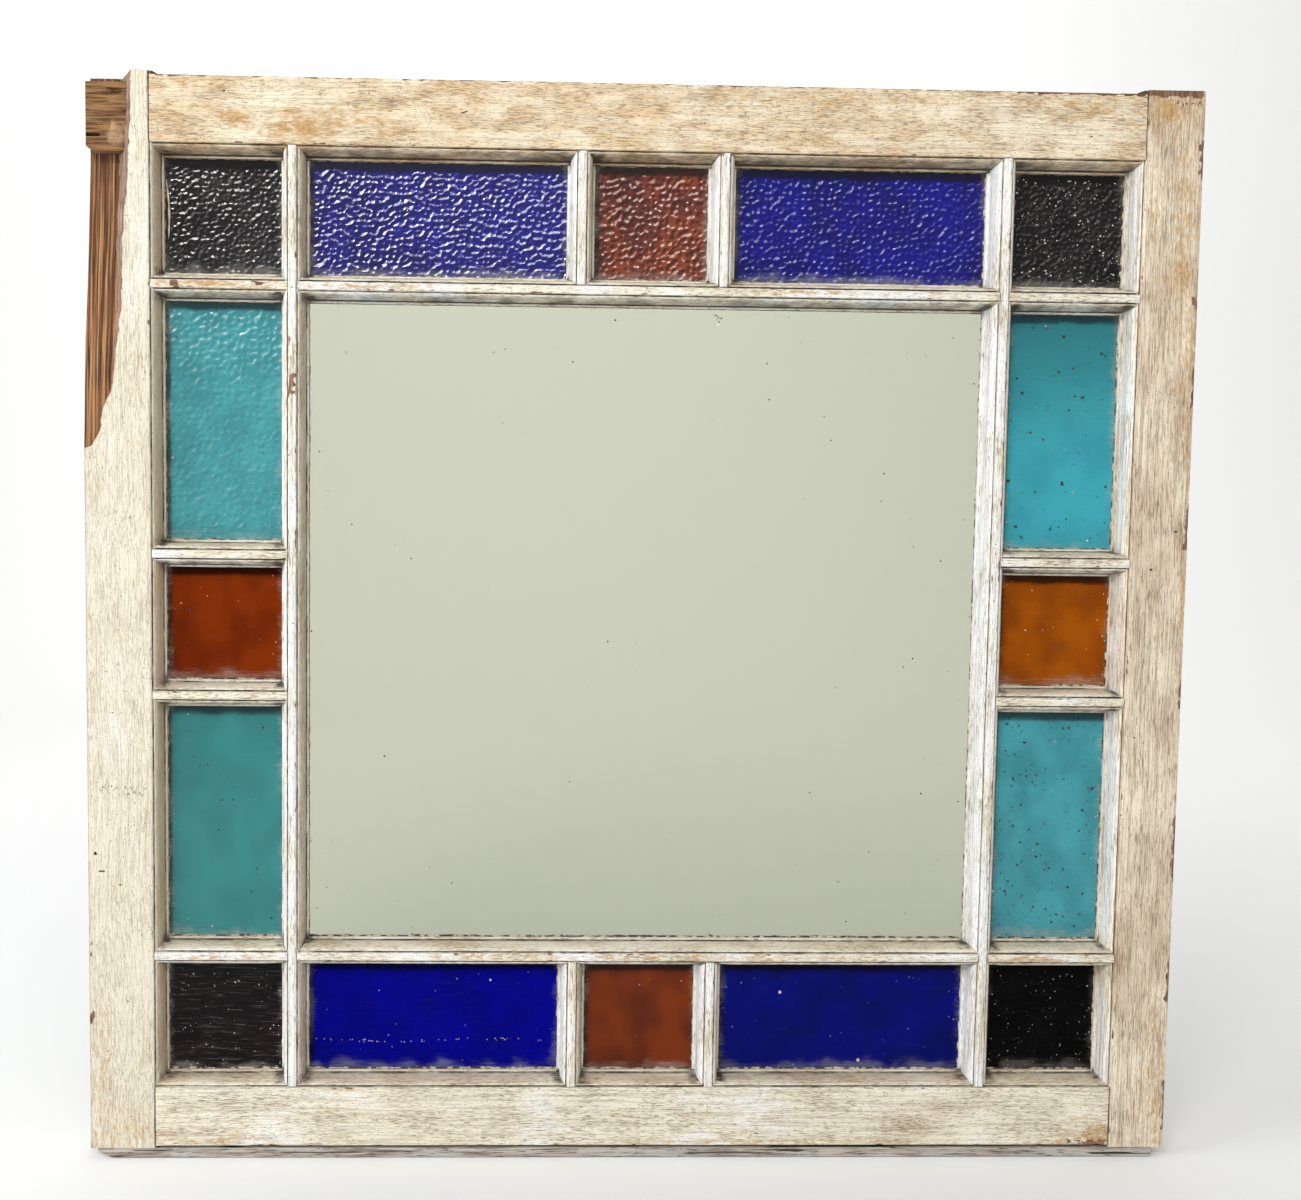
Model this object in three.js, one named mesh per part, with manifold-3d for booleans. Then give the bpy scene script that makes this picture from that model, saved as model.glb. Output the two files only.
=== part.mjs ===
// Painted pine window sash with a large clear pane framed by sixteen coloured panes.
// Units are millimetres, +Z is up, and the moulded face looks towards -Y.
// The origin is the middle of the underside of the packing strip below the sash.

import * as THREE from 'three';
import { mergeVertices } from 'three/addons/utils/BufferGeometryUtils.js';
import Module from 'manifold-3d';

const wasm = await Module();
wasm.setup();

// Driving sizes of the joinery
const sashWidth = 800;
const stileHeight = 777.9;
const thickness = 35;
const leftStileFace = 47;
const rightStileFace = 42;
const topRailFace = 47;
const bottomRailFace = 44.5;
const barFace = 6.25;
const topHorn = 2.4;
const bottomHorn = 1.5;
const jointGap = 0.3;

// Openings between the arrises that keep their own size
const leftBorderWidth = 97.5;
const middleColumnWidth = 96;
const rightBorderWidth = 96;
const bottomBorderHeight = 95;
const middleRowHeight = 96;
const topBorderHeight = 95;

// The long panes share what is left, unevenly by hand: the left and the lower ones are larger by these
const leftLongExtra = 2.5;
const lowerLongExtra = 0.5;

// Sash moulding, measured inwards from the arris and back from the front face
const quirkWidth = 0.7;
const quirkDepth = 1.5;
const ovoloWidth = 4.9;
const ovoloDepth = 16;
const ovoloSteps = 6;
const filletDepth = 17.5;
const mouldingWidth = 6.9;
const glassDepth = 20;

// Glass and putty
const glassThickness = 3;
const glassClearance = 1;
const puttyGap = 0.3;
const puttyWidth = 6;
const puttyHeight = 10.5;

// Through tenons of the rails
const tenonFront = 11.5;
const tenonThickness = 12;
const tenonOuterShoulder = 2.7;
const tenonInnerReach = 4.4;
const tenonRoot = 14;

// Packing strip nailed below the sash
const stripThickness = 7.2;
const stripDepth = 33;
const stripLeftInset = 5;
const stripRightInset = 9;
const stripChipLength = 10;
const stripChipHeight = 5;

// Splintered break at the head of the left stile
const breakLength = 265;
const breakWidth = 35.4;
const breakDepth = 24.2;
const breakLean = 0.75;
// Each row: share of the length below the top, of the width, and of the depth
const breakShape = [
  [0.0, 1.0, 1.0],
  [0.11, 0.96, 1.0],
  [0.235, 0.92, 1.0],
  [0.325, 0.875, 0.87],
  [0.42, 0.81, 0.74],
  [0.475, 0.78, 0.66],
  [0.58, 0.77, 0.5],
  [0.675, 0.71, 0.33],
  [0.74, 0.65, 0.24],
  [0.84, 0.57, 0.17],
  [0.87, 0.46, 0.14],
  [0.9, 0.37, 0.12],
  [0.96, 0.29, 0.08],
  [0.99, 0.15, 0.04],
];

// Room that cutters take beyond the wood they cut
const cutterRoom = 10;

// Corners closer than this are one corner
const weldDistance = 1e-4;

// Places that follow from the driving sizes
const frontFace = -thickness / 2;
const leftEdge = -sashWidth / 2;
const leftArris = leftEdge + leftStileFace;
const rightArris = leftEdge + sashWidth - rightStileFace;
const openingWidth = rightArris - leftArris;
const stileBottom = stripThickness + jointGap;
const railBottom = stileBottom + bottomHorn;
const railTop = stileBottom + stileHeight - topHorn;
const lowerArris = railBottom + bottomRailFace;
const upperArris = railTop - topRailFace;

// Five openings between two arrises: border, long, middle, long, border
function openings(low, high, [firstBorder, middle, lastBorder], firstLongExtra) {
  const bars = 4;
  const long = (high - low - bars * barFace - firstBorder - middle - lastBorder) / 2;
  const sizes = [firstBorder, long + firstLongExtra / 2, middle, long - firstLongExtra / 2, lastBorder];
  const list = [];
  let place = low;
  for (const size of sizes) {
    list.push({ low: place, high: place + size });
    place += size + barFace;
  }
  return list;
}
const columnSizes = [leftBorderWidth, middleColumnWidth, rightBorderWidth];
const rowSizes = [bottomBorderHeight, middleRowHeight, topBorderHeight];
const columns = openings(leftArris, rightArris, columnSizes, leftLongExtra);
const rows = openings(lowerArris, upperArris, rowSizes, lowerLongExtra);

// Materials
const whitePaint = new THREE.MeshStandardMaterial({ color: '#e6dcc4', roughness: 0.75, metalness: 0 });
const tanPaint = new THREE.MeshStandardMaterial({ color: '#d6c5a8', roughness: 0.8, metalness: 0 });
const bareWood = new THREE.MeshStandardMaterial({ color: '#a29a8c', roughness: 0.9, metalness: 0 });
const oldPutty = new THREE.MeshStandardMaterial({ color: '#d9d2c0', roughness: 0.9, metalness: 0 });

function glassMaterial(color, opacity) {
  return new THREE.MeshStandardMaterial({ color, opacity, transparent: true, roughness: 0.15, metalness: 0 });
}
const blueGlass = glassMaterial('#10128c', 0.85);
const tealGlass = glassMaterial('#3f9aa6', 0.7);
const amberGlass = glassMaterial('#8a3f0c', 0.85);
const redGlass = glassMaterial('#7a2f1c', 0.85);
const smokeGlass = glassMaterial('#241d22', 0.9);
const clearGlass = glassMaterial('#c8cdb4', 0.3);

// Solid modelling helpers
function toSolid(geometry) {
  const bare = geometry.clone();
  bare.deleteAttribute('normal');
  bare.deleteAttribute('uv');
  const merged = mergeVertices(bare, weldDistance);
  return new wasm.Manifold(new wasm.Mesh({
    numProp: 3,
    vertProperties: new Float32Array(merged.attributes.position.array),
    triVerts: new Uint32Array(merged.index.array),
  }));
}

function toGeometry(solid) {
  const mesh = solid.getMesh();
  const geometry = new THREE.BufferGeometry();
  geometry.setAttribute('position', new THREE.BufferAttribute(mesh.vertProperties, 3));
  geometry.setIndex(new THREE.BufferAttribute(mesh.triVerts, 1));
  const faceted = geometry.toNonIndexed();
  faceted.computeVertexNormals();
  return faceted;
}

function extrude(points, length) {
  const shape = new THREE.Shape(points.map(([x, y]) => new THREE.Vector2(x, y)));
  return new THREE.ExtrudeGeometry(shape, { depth: length, bevelEnabled: false, steps: 1 });
}

// Moulded edge from front to back: [distance in from the arris, distance behind the front face].
// A clearance above zero gives the outline that a coped neighbour is cut to.
function mouldedEdge(clearance = 0) {
  const edge = [[0, -clearance * cutterRoom], [0, quirkDepth]];
  for (let step = 0; step <= ovoloSteps; step += 1) {
    const angle = (Math.PI / 2) * (step / ovoloSteps);
    edge.push([
      quirkWidth + (ovoloWidth - quirkWidth) * Math.sin(angle),
      ovoloDepth - (ovoloDepth - quirkDepth) * Math.cos(angle),
    ]);
  }
  edge.push([ovoloWidth, filletDepth], [mouldingWidth, filletDepth]);
  const front = edge.map(([inwards, back]) => [inwards + clearance, back - clearance]);
  const behind = [
    [mouldingWidth + clearance, glassDepth + clearance],
    [clearance, glassDepth + clearance],
    [clearance, thickness + clearance * cutterRoom],
  ];
  return front.concat(behind);
}

function plainEdge() {
  return [[0, 0], [0, thickness]];
}

// Closed skin through level sections, each a list of as many corners, from the top down
function loftGeometry(sections) {
  const corners = sections[0].length;
  const index = [];
  for (let level = 0; level < sections.length - 1; level += 1) {
    for (let corner = 0; corner < corners; corner += 1) {
      const next = (corner + 1) % corners;
      const a = level * corners + corner;
      const b = level * corners + next;
      index.push(a, a + corners, b, b, a + corners, b + corners);
    }
  }
  const last = (sections.length - 1) * corners;
  for (let corner = 1; corner < corners - 1; corner += 1) {
    index.push(0, corner, corner + 1);
    index.push(last, last + corner + 1, last + corner);
  }
  const geometry = new THREE.BufferGeometry();
  geometry.setAttribute('position', new THREE.Float32BufferAttribute(sections.flat(2), 3));
  geometry.setIndex(index);
  return geometry;
}

// Cross-section between two face edges, each plain or moulded, in (across, depth)
function memberSection(lowFace, highFace, lowMoulded, highMoulded) {
  const high = highMoulded ? mouldedEdge() : plainEdge();
  const low = lowMoulded ? mouldedEdge() : plainEdge();
  return [
    ...high.map(([inwards, back]) => [highFace + inwards, frontFace + back]),
    ...low.reverse().map(([inwards, back]) => [lowFace - inwards, frontFace + back]),
  ];
}

// Cutter that scribes the end of a member over the moulding it meets.
// The member runs along local Z, and side is +1 at its start and -1 at its end.
function copeCutter(arris, side, low, high) {
  const outline = mouldedEdge(jointGap).map(([inwards, back]) => [side * inwards, frontFace + back]);
  const reach = -side * (mouldingWidth + cutterRoom);
  outline.push([reach, outline[outline.length - 1][1]], [reach, outline[0][1]]);
  const geometry = extrude(outline, high - low);
  geometry.rotateY(-Math.PI / 2);
  geometry.translate(high, 0, arris);
  return toSolid(geometry);
}

// A length of sash section along local Z from arris to arris, coped at both ends
function copedMember(length, section) {
  const across = section.map((point) => point[0]);
  const low = Math.min(...across) - cutterRoom;
  const high = Math.max(...across) + cutterRoom;
  return toSolid(extrude(section, length))
    .subtract(copeCutter(0, 1, low, high))
    .subtract(copeCutter(length, -1, low, high));
}

const barSection = memberSection(-barFace / 2, barFace / 2, true, true);

const sash = new THREE.Group();

function addMesh(parent, name, geometry, material) {
  const mesh = new THREE.Mesh(geometry, material.clone());
  mesh.name = name;
  parent.add(mesh);
  return mesh;
}

// Upright and level bars: position is the arris they start from and their centre line
function addUprightBar(parent, name, centre, span, material) {
  const bar = addMesh(parent, name, toGeometry(copedMember(span.high - span.low, barSection)), material);
  bar.position.set(centre, 0, span.low);
}

function addLevelBar(parent, name, centre, span, material) {
  const bar = addMesh(parent, name, toGeometry(copedMember(span.high - span.low, barSection)), material);
  bar.rotation.y = Math.PI / 2;
  bar.position.set(span.low, 0, centre);
}

// Rails: the arris along the opening, the outer edge, and which way the opening lies
const topRail = { arris: upperArris, outer: railTop, inwards: -1 };
const bottomRail = { arris: lowerArris, outer: railBottom, inwards: 1 };

// A tenon keeps the rabbet step of its rail, and a clearance above zero makes its mortise
function tenonGeometry({ arris, outer, inwards }, clearance, lowX, highX) {
  const shoulder = outer + inwards * (tenonOuterShoulder - clearance);
  const inner = arris + inwards * (tenonInnerReach + clearance);
  const step = arris + inwards * clearance;
  const front = frontFace + tenonFront - clearance;
  const rabbet = frontFace + glassDepth + clearance;
  const back = frontFace + tenonFront + tenonThickness + clearance;
  const outline = [
    [shoulder, front], [inner, front], [inner, rabbet], [step, rabbet], [step, back], [shoulder, back],
  ];
  return extrude(outline, highX - lowX).rotateY(-Math.PI / 2).translate(highX, 0, 0);
}

// The break: a loft from above the stile down to where it runs out of the face
function breakCutter() {
  const top = stileBottom + stileHeight;
  const levels = breakShape.map(([down, across, deep]) => ({
    z: top - down * breakLength,
    edge: across * breakWidth,
    depth: deep * breakDepth,
  }));
  levels.unshift({ ...levels[0], z: top + cutterRoom });
  levels.push({ z: top - breakLength, edge: -cutterRoom / 2, depth: -cutterRoom / 2 });
  const outerSide = leftEdge - cutterRoom;
  const before = frontFace - cutterRoom;
  return toSolid(loftGeometry(levels.map(({ z, edge, depth }) => [
    [outerSide, before, z],
    [leftEdge + edge, before, z],
    [leftEdge + edge, frontFace, z],
    [leftEdge + edge - breakLean * depth, frontFace + depth, z],
    [outerSide, frontFace + depth, z],
  ])));
}

// Stiles: full height, moulded on the inner edge, mortised for the rails
function stileSolid(section, lowX, highX) {
  let stile = toSolid(extrude(section, stileHeight).translate(0, 0, stileBottom));
  for (const rail of [topRail, bottomRail]) {
    stile = stile.subtract(toSolid(tenonGeometry(rail, jointGap, lowX, highX)));
  }
  return stile;
}

function addStiles() {
  const beyondMoulding = mouldingWidth + cutterRoom;
  const leftSection = memberSection(leftEdge, leftArris, false, true);
  const left = stileSolid(leftSection, leftEdge - cutterRoom, leftArris + beyondMoulding)
    .subtract(breakCutter());
  addMesh(sash, 'left_stile', toGeometry(left), whitePaint);

  const rightEdge = leftEdge + sashWidth;
  const rightSection = memberSection(rightArris, rightEdge, true, false);
  const right = stileSolid(rightSection, rightArris - beyondMoulding, rightEdge + cutterRoom);
  addMesh(sash, 'right_stile', toGeometry(right), tanPaint);
}

// Rails are made lying along local Z, where the top of the sash is towards local -X
function addRail(name, rail, section, material) {
  let solid = copedMember(openingWidth, section);
  const leftTenon = [leftEdge, leftArris + tenonRoot];
  const rightTenon = [rightArris - tenonRoot, leftEdge + sashWidth];
  for (const [lowX, highX] of [leftTenon, rightTenon]) {
    const tenon = tenonGeometry(rail, 0, lowX, highX);
    tenon.translate(-leftArris, 0, -rail.arris).rotateY(-Math.PI / 2);
    solid = solid.add(toSolid(tenon));
  }
  const mesh = addMesh(sash, name, toGeometry(solid), material);
  mesh.rotation.y = Math.PI / 2;
  mesh.position.set(leftArris, 0, rail.arris);
}

function addRails() {
  addRail('top_rail', topRail, memberSection(-topRailFace, 0, false, true), whitePaint);
  addRail('bottom_rail', bottomRail, memberSection(0, bottomRailFace, true, false), whitePaint);
}

// Bars: two full-height uprights carry the cross bars, and short bars divide the borders
function addBars() {
  const bars = new THREE.Group();
  sash.add(bars);
  const lastColumn = columns.length - 1;
  const lastRow = rows.length - 1;
  const barBefore = (span) => span.low - barFace / 2;
  const fullHeight = { low: lowerArris, high: upperArris };
  const centreSpan = { low: columns[1].low, high: columns[lastColumn - 1].high };

  addUprightBar(bars, 'left_upright_bar', barBefore(columns[1]), fullHeight, whitePaint);
  addUprightBar(bars, 'right_upright_bar', barBefore(columns[lastColumn]), fullHeight, whitePaint);
  addLevelBar(bars, 'upper_cross_bar', barBefore(rows[lastRow]), centreSpan, whitePaint);
  addLevelBar(bars, 'lower_cross_bar', barBefore(rows[1]), centreSpan, whitePaint);

  for (const [side, column] of [['left', columns[0]], ['right', columns[lastColumn]]]) {
    for (let row = 1; row <= lastRow; row += 1) {
      addLevelBar(bars, `${side}_side_bar_${row}`, barBefore(rows[row]), column, whitePaint);
    }
  }
  for (const [side, row] of [['bottom', rows[0]], ['top', rows[lastRow]]]) {
    for (let column = 2; column < lastColumn; column += 1) {
      addUprightBar(bars, `${side}_short_bar_${column - 1}`, barBefore(columns[column]), row, whitePaint);
    }
  }
}

// Ring of triangular section: each profile point is [inset from the opening, depth]
function ringGeometry(width, height, profile) {
  const loops = profile.map(([inset, back]) => {
    const halfWidth = width / 2 - inset;
    const halfHeight = height / 2 - inset;
    return [
      [-halfWidth, back, -halfHeight],
      [halfWidth, back, -halfHeight],
      [halfWidth, back, halfHeight],
      [-halfWidth, back, halfHeight],
    ];
  });
  const corners = loops[0].length;
  const index = [];
  for (let edge = 0; edge < profile.length; edge += 1) {
    const nextEdge = (edge + 1) % profile.length;
    for (let corner = 0; corner < corners; corner += 1) {
      const nextCorner = (corner + 1) % corners;
      const a = edge * corners + corner;
      const b = edge * corners + nextCorner;
      const c = nextEdge * corners + nextCorner;
      const d = nextEdge * corners + corner;
      index.push(a, c, b, a, d, c);
    }
  }
  const geometry = new THREE.BufferGeometry();
  geometry.setAttribute('position', new THREE.Float32BufferAttribute(loops.flat(2), 3));
  geometry.setIndex(index);
  geometry.computeVertexNormals();
  return geometry;
}

// One pane in its rabbet, with its putty behind
function addPane(parent, name, across, up, material) {
  const width = across.high - across.low;
  const height = up.high - up.low;
  const seat = new THREE.Group();
  seat.position.set((across.low + across.high) / 2, frontFace, (up.low + up.high) / 2);
  parent.add(seat);

  const glassFront = glassDepth + jointGap;
  const glassBack = glassFront + glassThickness;
  const size = [width - 2 * glassClearance, glassThickness, height - 2 * glassClearance];
  const pane = addMesh(seat, `pane_${name}`, new THREE.BoxGeometry(...size), material);
  pane.position.y = (glassFront + glassBack) / 2;

  const puttyFront = glassBack + puttyGap;
  const profile = [
    [puttyGap, puttyFront],
    [puttyGap, puttyFront + puttyHeight],
    [puttyGap + puttyWidth, puttyFront],
  ];
  addMesh(seat, `putty_${name}`, ringGeometry(width, height, profile), oldPutty);
}

function addPanes() {
  const panes = new THREE.Group();
  sash.add(panes);
  const lastColumn = columns.length - 1;
  const lastRow = rows.length - 1;
  const border = [
    ['left_corner', smokeGlass],
    ['left_blue', blueGlass],
    ['red', redGlass],
    ['right_blue', blueGlass],
    ['right_corner', smokeGlass],
  ];
  for (const [side, row] of [['bottom', rows[0]], ['top', rows[lastRow]]]) {
    border.forEach(([name, material], column) => {
      addPane(panes, `${side}_${name}`, columns[column], row, material);
    });
  }
  const upright = [['lower_teal', tealGlass], ['amber', amberGlass], ['upper_teal', tealGlass]];
  for (const [side, column] of [['left', columns[0]], ['right', columns[lastColumn]]]) {
    upright.forEach(([name, material], row) => {
      addPane(panes, `${side}_${name}`, column, rows[row + 1], material);
    });
  }
  const centreColumns = { low: columns[1].low, high: columns[lastColumn - 1].high };
  const centreRows = { low: rows[1].low, high: rows[lastRow - 1].high };
  addPane(panes, 'centre_clear', centreColumns, centreRows, clearGlass);
}

// Packing strip: a bare slat with its lower left corner broken away
function addPackingStrip() {
  const left = leftEdge + stripLeftInset;
  const right = leftEdge + sashWidth - stripRightInset;
  const outline = [
    [left + stripChipLength, 0],
    [right, 0],
    [right, stripThickness],
    [left, stripThickness],
    [left, stripChipHeight],
  ];
  const geometry = extrude(outline, stripDepth);
  geometry.rotateX(Math.PI / 2);
  const strip = addMesh(sash, 'packing_strip', geometry, bareWood);
  strip.position.y = stripDepth / 2;
}

addStiles();
addRails();
addBars();
addPanes();
addPackingStrip();

export default sash;
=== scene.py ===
import math
import bmesh
import bpy
import numpy as np
from mathutils import Matrix, Vector
from mathutils.geometry import tessellate_polygon


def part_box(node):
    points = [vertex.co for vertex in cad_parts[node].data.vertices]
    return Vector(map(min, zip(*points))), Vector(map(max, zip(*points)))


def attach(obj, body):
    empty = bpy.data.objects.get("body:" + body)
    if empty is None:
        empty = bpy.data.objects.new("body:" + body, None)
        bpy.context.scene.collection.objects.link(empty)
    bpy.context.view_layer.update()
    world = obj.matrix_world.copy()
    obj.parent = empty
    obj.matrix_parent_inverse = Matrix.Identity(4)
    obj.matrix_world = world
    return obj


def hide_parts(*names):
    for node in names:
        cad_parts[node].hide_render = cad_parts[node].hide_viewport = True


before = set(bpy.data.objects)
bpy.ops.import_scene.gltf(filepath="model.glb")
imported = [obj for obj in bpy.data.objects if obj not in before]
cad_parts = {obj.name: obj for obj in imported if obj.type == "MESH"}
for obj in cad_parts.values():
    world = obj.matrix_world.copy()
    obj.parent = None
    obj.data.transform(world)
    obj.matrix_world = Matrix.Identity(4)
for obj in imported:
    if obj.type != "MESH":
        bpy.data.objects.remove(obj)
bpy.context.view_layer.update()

print("frame loaded:", len(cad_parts), "nodes")

mm = 0.001
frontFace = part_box("left_stile")[0].y / mm      # the moulded face, towards -Y


def boxMm(node):
    low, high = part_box(node)
    return np.array(low) / mm, np.array(high) / mm


def smoothStep(value, low, high):
    t = np.clip((value - low) / (high - low), 0.0, 1.0)
    return t * t * (3 - 2 * t)


def near(distance, size):
    return np.exp(-(distance / size) ** 2)


def latticeValue(x, y, z, seed):
    # a fixed scatter of values from -1 to 1 over whole-number places
    h = (x * 73856093) ^ (y * 19349663) ^ (z * 83492791) ^ (seed * 668265263)
    h = (h ^ (h >> 13)) * 1274126177
    h = h ^ (h >> 16)
    return (h & 0xFFFF) / 32767.5 - 1.0


def smoothNoise(x, y, z, seed):
    # value noise from -1 to 1, one lattice cell per unit
    x, y, z = np.broadcast_arrays(np.asarray(x, float), y, z)
    cell = [np.floor(v).astype(np.int64) for v in (x, y, z)]
    part = [v - c for v, c in zip((x, y, z), cell)]
    fade = [p * p * (3 - 2 * p) for p in part]
    total = np.zeros(x.shape)
    for dx in (0, 1):
        for dy in (0, 1):
            for dz in (0, 1):
                weight = ((fade[0] if dx else 1 - fade[0]) * (fade[1] if dy else 1 - fade[1])
                          * (fade[2] if dz else 1 - fade[2]))
                total += weight * latticeValue(cell[0] + dx, cell[1] + dy, cell[2] + dz, seed)
    return total


def layeredNoise(x, y, z, seed, layers=3):
    total, size = 0.0, 1.0
    for layer in range(layers):
        step = 2.03 ** layer
        total = total + size * smoothNoise(x * step, y * step, z * step, seed + 17 * layer)
        size *= 0.5
    return total / (2 - 0.5 ** (layers - 1))


def makeMesh(name, points, faces, materials=(), sharpAngle=32, closed=False):
    mesh = bpy.data.meshes.new(name)
    mesh.from_pydata((np.asarray(points, float) * mm).tolist(), [], faces)
    if closed:
        turnOutwards(mesh)
    mesh.update()
    piece = bpy.data.objects.new(name, mesh)
    bpy.context.scene.collection.objects.link(piece)
    for material in materials:
        mesh.materials.append(material)
    smoothShade(mesh, sharpAngle)
    return piece


def turnOutwards(mesh):
    # all faces of a closed mesh look outwards
    bm = bmesh.new()
    bm.from_mesh(mesh)
    bmesh.ops.recalc_face_normals(bm, faces=bm.faces)
    if bm.calc_volume(signed=True) < 0:
        bmesh.ops.reverse_faces(bm, faces=bm.faces)
    bm.to_mesh(mesh)
    bm.free()


def closedPiece(name, points, faces, materials=(), sharpAngle=32):
    return makeMesh(name, points, faces, materials, sharpAngle, closed=True)


def smoothShade(mesh, sharpAngle=32):
    mesh.shade_smooth()
    mesh.set_sharp_from_angle(angle=math.radians(sharpAngle))


def gridFaces(rows, columns, closed=True, ring=False, start=0):
    # faces between rows of points: closed joins the last column to the first, ring the last row
    i = np.arange(rows if ring else rows - 1)[:, None]
    j = np.arange(columns if closed else columns - 1)[None, :]
    here, ahead, k = i * columns, (i + 1) % rows * columns, (j + 1) % columns
    quads = np.stack([here + j, here + k, ahead + k, ahead + j], -1).reshape(-1, 4) + start
    return [tuple(q) for q in quads.tolist()]


def sweptPiece(name, x, depth, z, outlines, materials):
    # a closed piece from rows of points, with an end face from the outline at each end
    rows, columns = x.shape
    points = np.stack([x.ravel(), (depth + frontFace).ravel(), z.ravel()], -1)
    first, last = [tessellate_polygon([[Vector((a, d, 0)) for a, d in outline]])
                   for outline in (outlines[0], outlines[-1])]
    faces = gridFaces(rows, columns) + [tuple(t) for t in first]
    faces += [tuple(i + (rows - 1) * columns for i in reversed(t)) for t in last]
    return closedPiece(name, points, faces, materials)


def levelGrid(outline, stations):
    # a piece that lies level: x, depth and z of its points, and its outward normals
    x = np.broadcast_to(stations[:, None], (len(stations), len(outline)))
    z, depth = [np.broadcast_to(outline[:, k], x.shape).copy() for k in (0, 1)]
    return x, depth, z, outlineNormals(outline)[None]


def pieceName(node):
    first, *others = node.split("_")
    return first + "".join(word.capitalize() for word in others)


nodeNames = sorted(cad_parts)


def meshPoints(mesh):
    points = np.empty(len(mesh.vertices) * 3)
    mesh.vertices.foreach_get("co", points)
    return points.reshape(-1, 3) / mm


def setAttribute(mesh, name, values):
    attribute = mesh.attributes.get(name) or mesh.attributes.new(name, "FLOAT", "POINT")
    attribute.data.foreach_set("value", np.clip(values, 0, 1).astype(np.float32))


def attributeValues(mesh, name):
    values = np.empty(len(mesh.vertices), np.float32)
    mesh.attributes[name].data.foreach_get("value", values)
    return values


def faceCentres(mesh):
    centres = np.empty(len(mesh.polygons) * 3)
    mesh.polygons.foreach_get("center", centres)
    return centres.reshape(-1, 3) / mm


def combine(piece, other, operation):
    modifier = piece.modifiers.new("cut", "BOOLEAN")
    modifier.operation = operation
    modifier.solver = "MANIFOLD"
    modifier.object = other
    bpy.context.view_layer.update()
    evaluated = piece.evaluated_get(bpy.context.evaluated_depsgraph_get())
    mesh = bpy.data.meshes.new_from_object(evaluated)
    piece.modifiers.clear()
    old = piece.data
    piece.data = mesh
    bpy.data.meshes.remove(old)
    bpy.data.objects.remove(other)
    smoothShade(mesh)


def block(low, high):
    points = [(x, y, z) for x in (low[0], high[0]) for y in (low[1], high[1]) for z in (low[2], high[2])]
    faces = [(0, 1, 3, 2), (4, 6, 7, 5), (0, 4, 5, 1), (2, 3, 7, 6), (0, 2, 6, 4), (1, 5, 7, 3)]
    return makeMesh("block", points, faces)


# All in millimetres: the same section as the solids, with the worn arrises and the open quirk added
moulding = {
    "thickness": 35.0,
    "arrisWear": 0.45,
    "quirkWidth": 0.7,
    "quirkDepth": 1.5,
    "grooveDepth": 2.5,
    "ovoloWidth": 4.9,
    "ovoloDepth": 16.0,
    "ovoloSteps": 11,
    "filletDepth": 17.5,
    "width": 6.9,
    "glassDepth": 20.0,
    "jointGap": 0.3,
}


def mouldedEdge():
    # from the front arris to the back one: (distance into the opening, depth behind the front)
    m = moulding
    r = m["arrisWear"]
    edge = [(-1.5, 0.0), (-r * 2, 0.02), (-r, r * 0.18), (-r * 0.35, r * 0.55), (0.0, r * 1.6)]
    edge += [(0.0, m["quirkDepth"]), (0.12, m["grooveDepth"] - 0.2), (0.36, m["grooveDepth"]),
             (0.6, m["grooveDepth"] - 0.3), (m["quirkWidth"], m["quirkDepth"] + 0.3)]
    drop, reach = m["ovoloDepth"] - m["quirkDepth"], m["ovoloWidth"] - m["quirkWidth"]
    for step in range(1, m["ovoloSteps"] + 1):
        angle = math.pi / 2 * step / m["ovoloSteps"]
        edge.append((m["quirkWidth"] + reach * math.sin(angle), m["ovoloDepth"] - drop * math.cos(angle)))
    w, d, g = m["width"], m["filletDepth"], m["glassDepth"]
    edge += [(m["ovoloWidth"], d - 0.5), (m["ovoloWidth"] + 0.15, d), (w - 1.0, d), (w - 0.25, d + 0.06),
             (w, d + 0.35), (w, d + 1.3), (w, g)]
    edge += [(w * 0.5, g), (0.0, g), (0.0, g + 0.5), (0.0, g + 4), (0.0, g + 8), (0.0, g + 12),
             (-0.05, 34.5), (-0.5, 35.0)]
    return edge


def copeReach(depth):
    # how far a member's end stands back from its neighbour's arris, at a depth
    m = moulding
    depth = np.asarray(depth, float)
    drop, reach = m["ovoloDepth"] - m["quirkDepth"], m["ovoloWidth"] - m["quirkWidth"]
    angle = np.arccos(np.clip((m["ovoloDepth"] - depth) / drop, 0, 1))
    back = np.where(depth < m["quirkDepth"], 0.0, m["quirkWidth"] + reach * np.sin(angle))
    back = np.where(depth > m["ovoloDepth"], m["ovoloWidth"], back)
    back = np.where(depth > m["filletDepth"] - 0.2, m["width"], back)
    back = np.where(depth > m["glassDepth"] + 0.35, 0.0, back)
    return back + m["jointGap"]


def plainEdge(width=1.5):
    # a square outer edge, slightly worn: (distance out from the edge, depth)
    r = moulding["arrisWear"]
    t = moulding["thickness"]
    edge = [(-width, 0.0), (-r * 2, 0.02), (-r, r * 0.25), (-r * 0.3, r * 0.7), (0.0, r * 1.8)]
    edge += [(0.0, d) for d in np.linspace(2.0, t - 2.0, 12)]
    return edge + [(0.0, t - r * 1.8), (-r * 0.5, t - r * 0.3), (-width, t)]


def spread(low, high, step):
    count = max(1, int(round((high - low) / step)))
    return list(np.linspace(low, high, count + 1))[1:-1]


def memberOutline(lowFace, highFace, lowEdge, highEdge, faceStep=1.2, backStep=5.0):
    # closed outline of a member, as (place across, depth): high edge, back, low edge, front
    high = [(highFace + i, d) for i, d in highEdge]
    low = [(lowFace - i, d) for i, d in reversed(lowEdge)]
    back = [(a, moulding["thickness"]) for a in spread(low[0][0], high[-1][0], backStep)[::-1]]
    front = [(a, 0.0) for a in spread(low[-1][0], high[0][0], faceStep)]
    return np.array(high + back + low + front)


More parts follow.
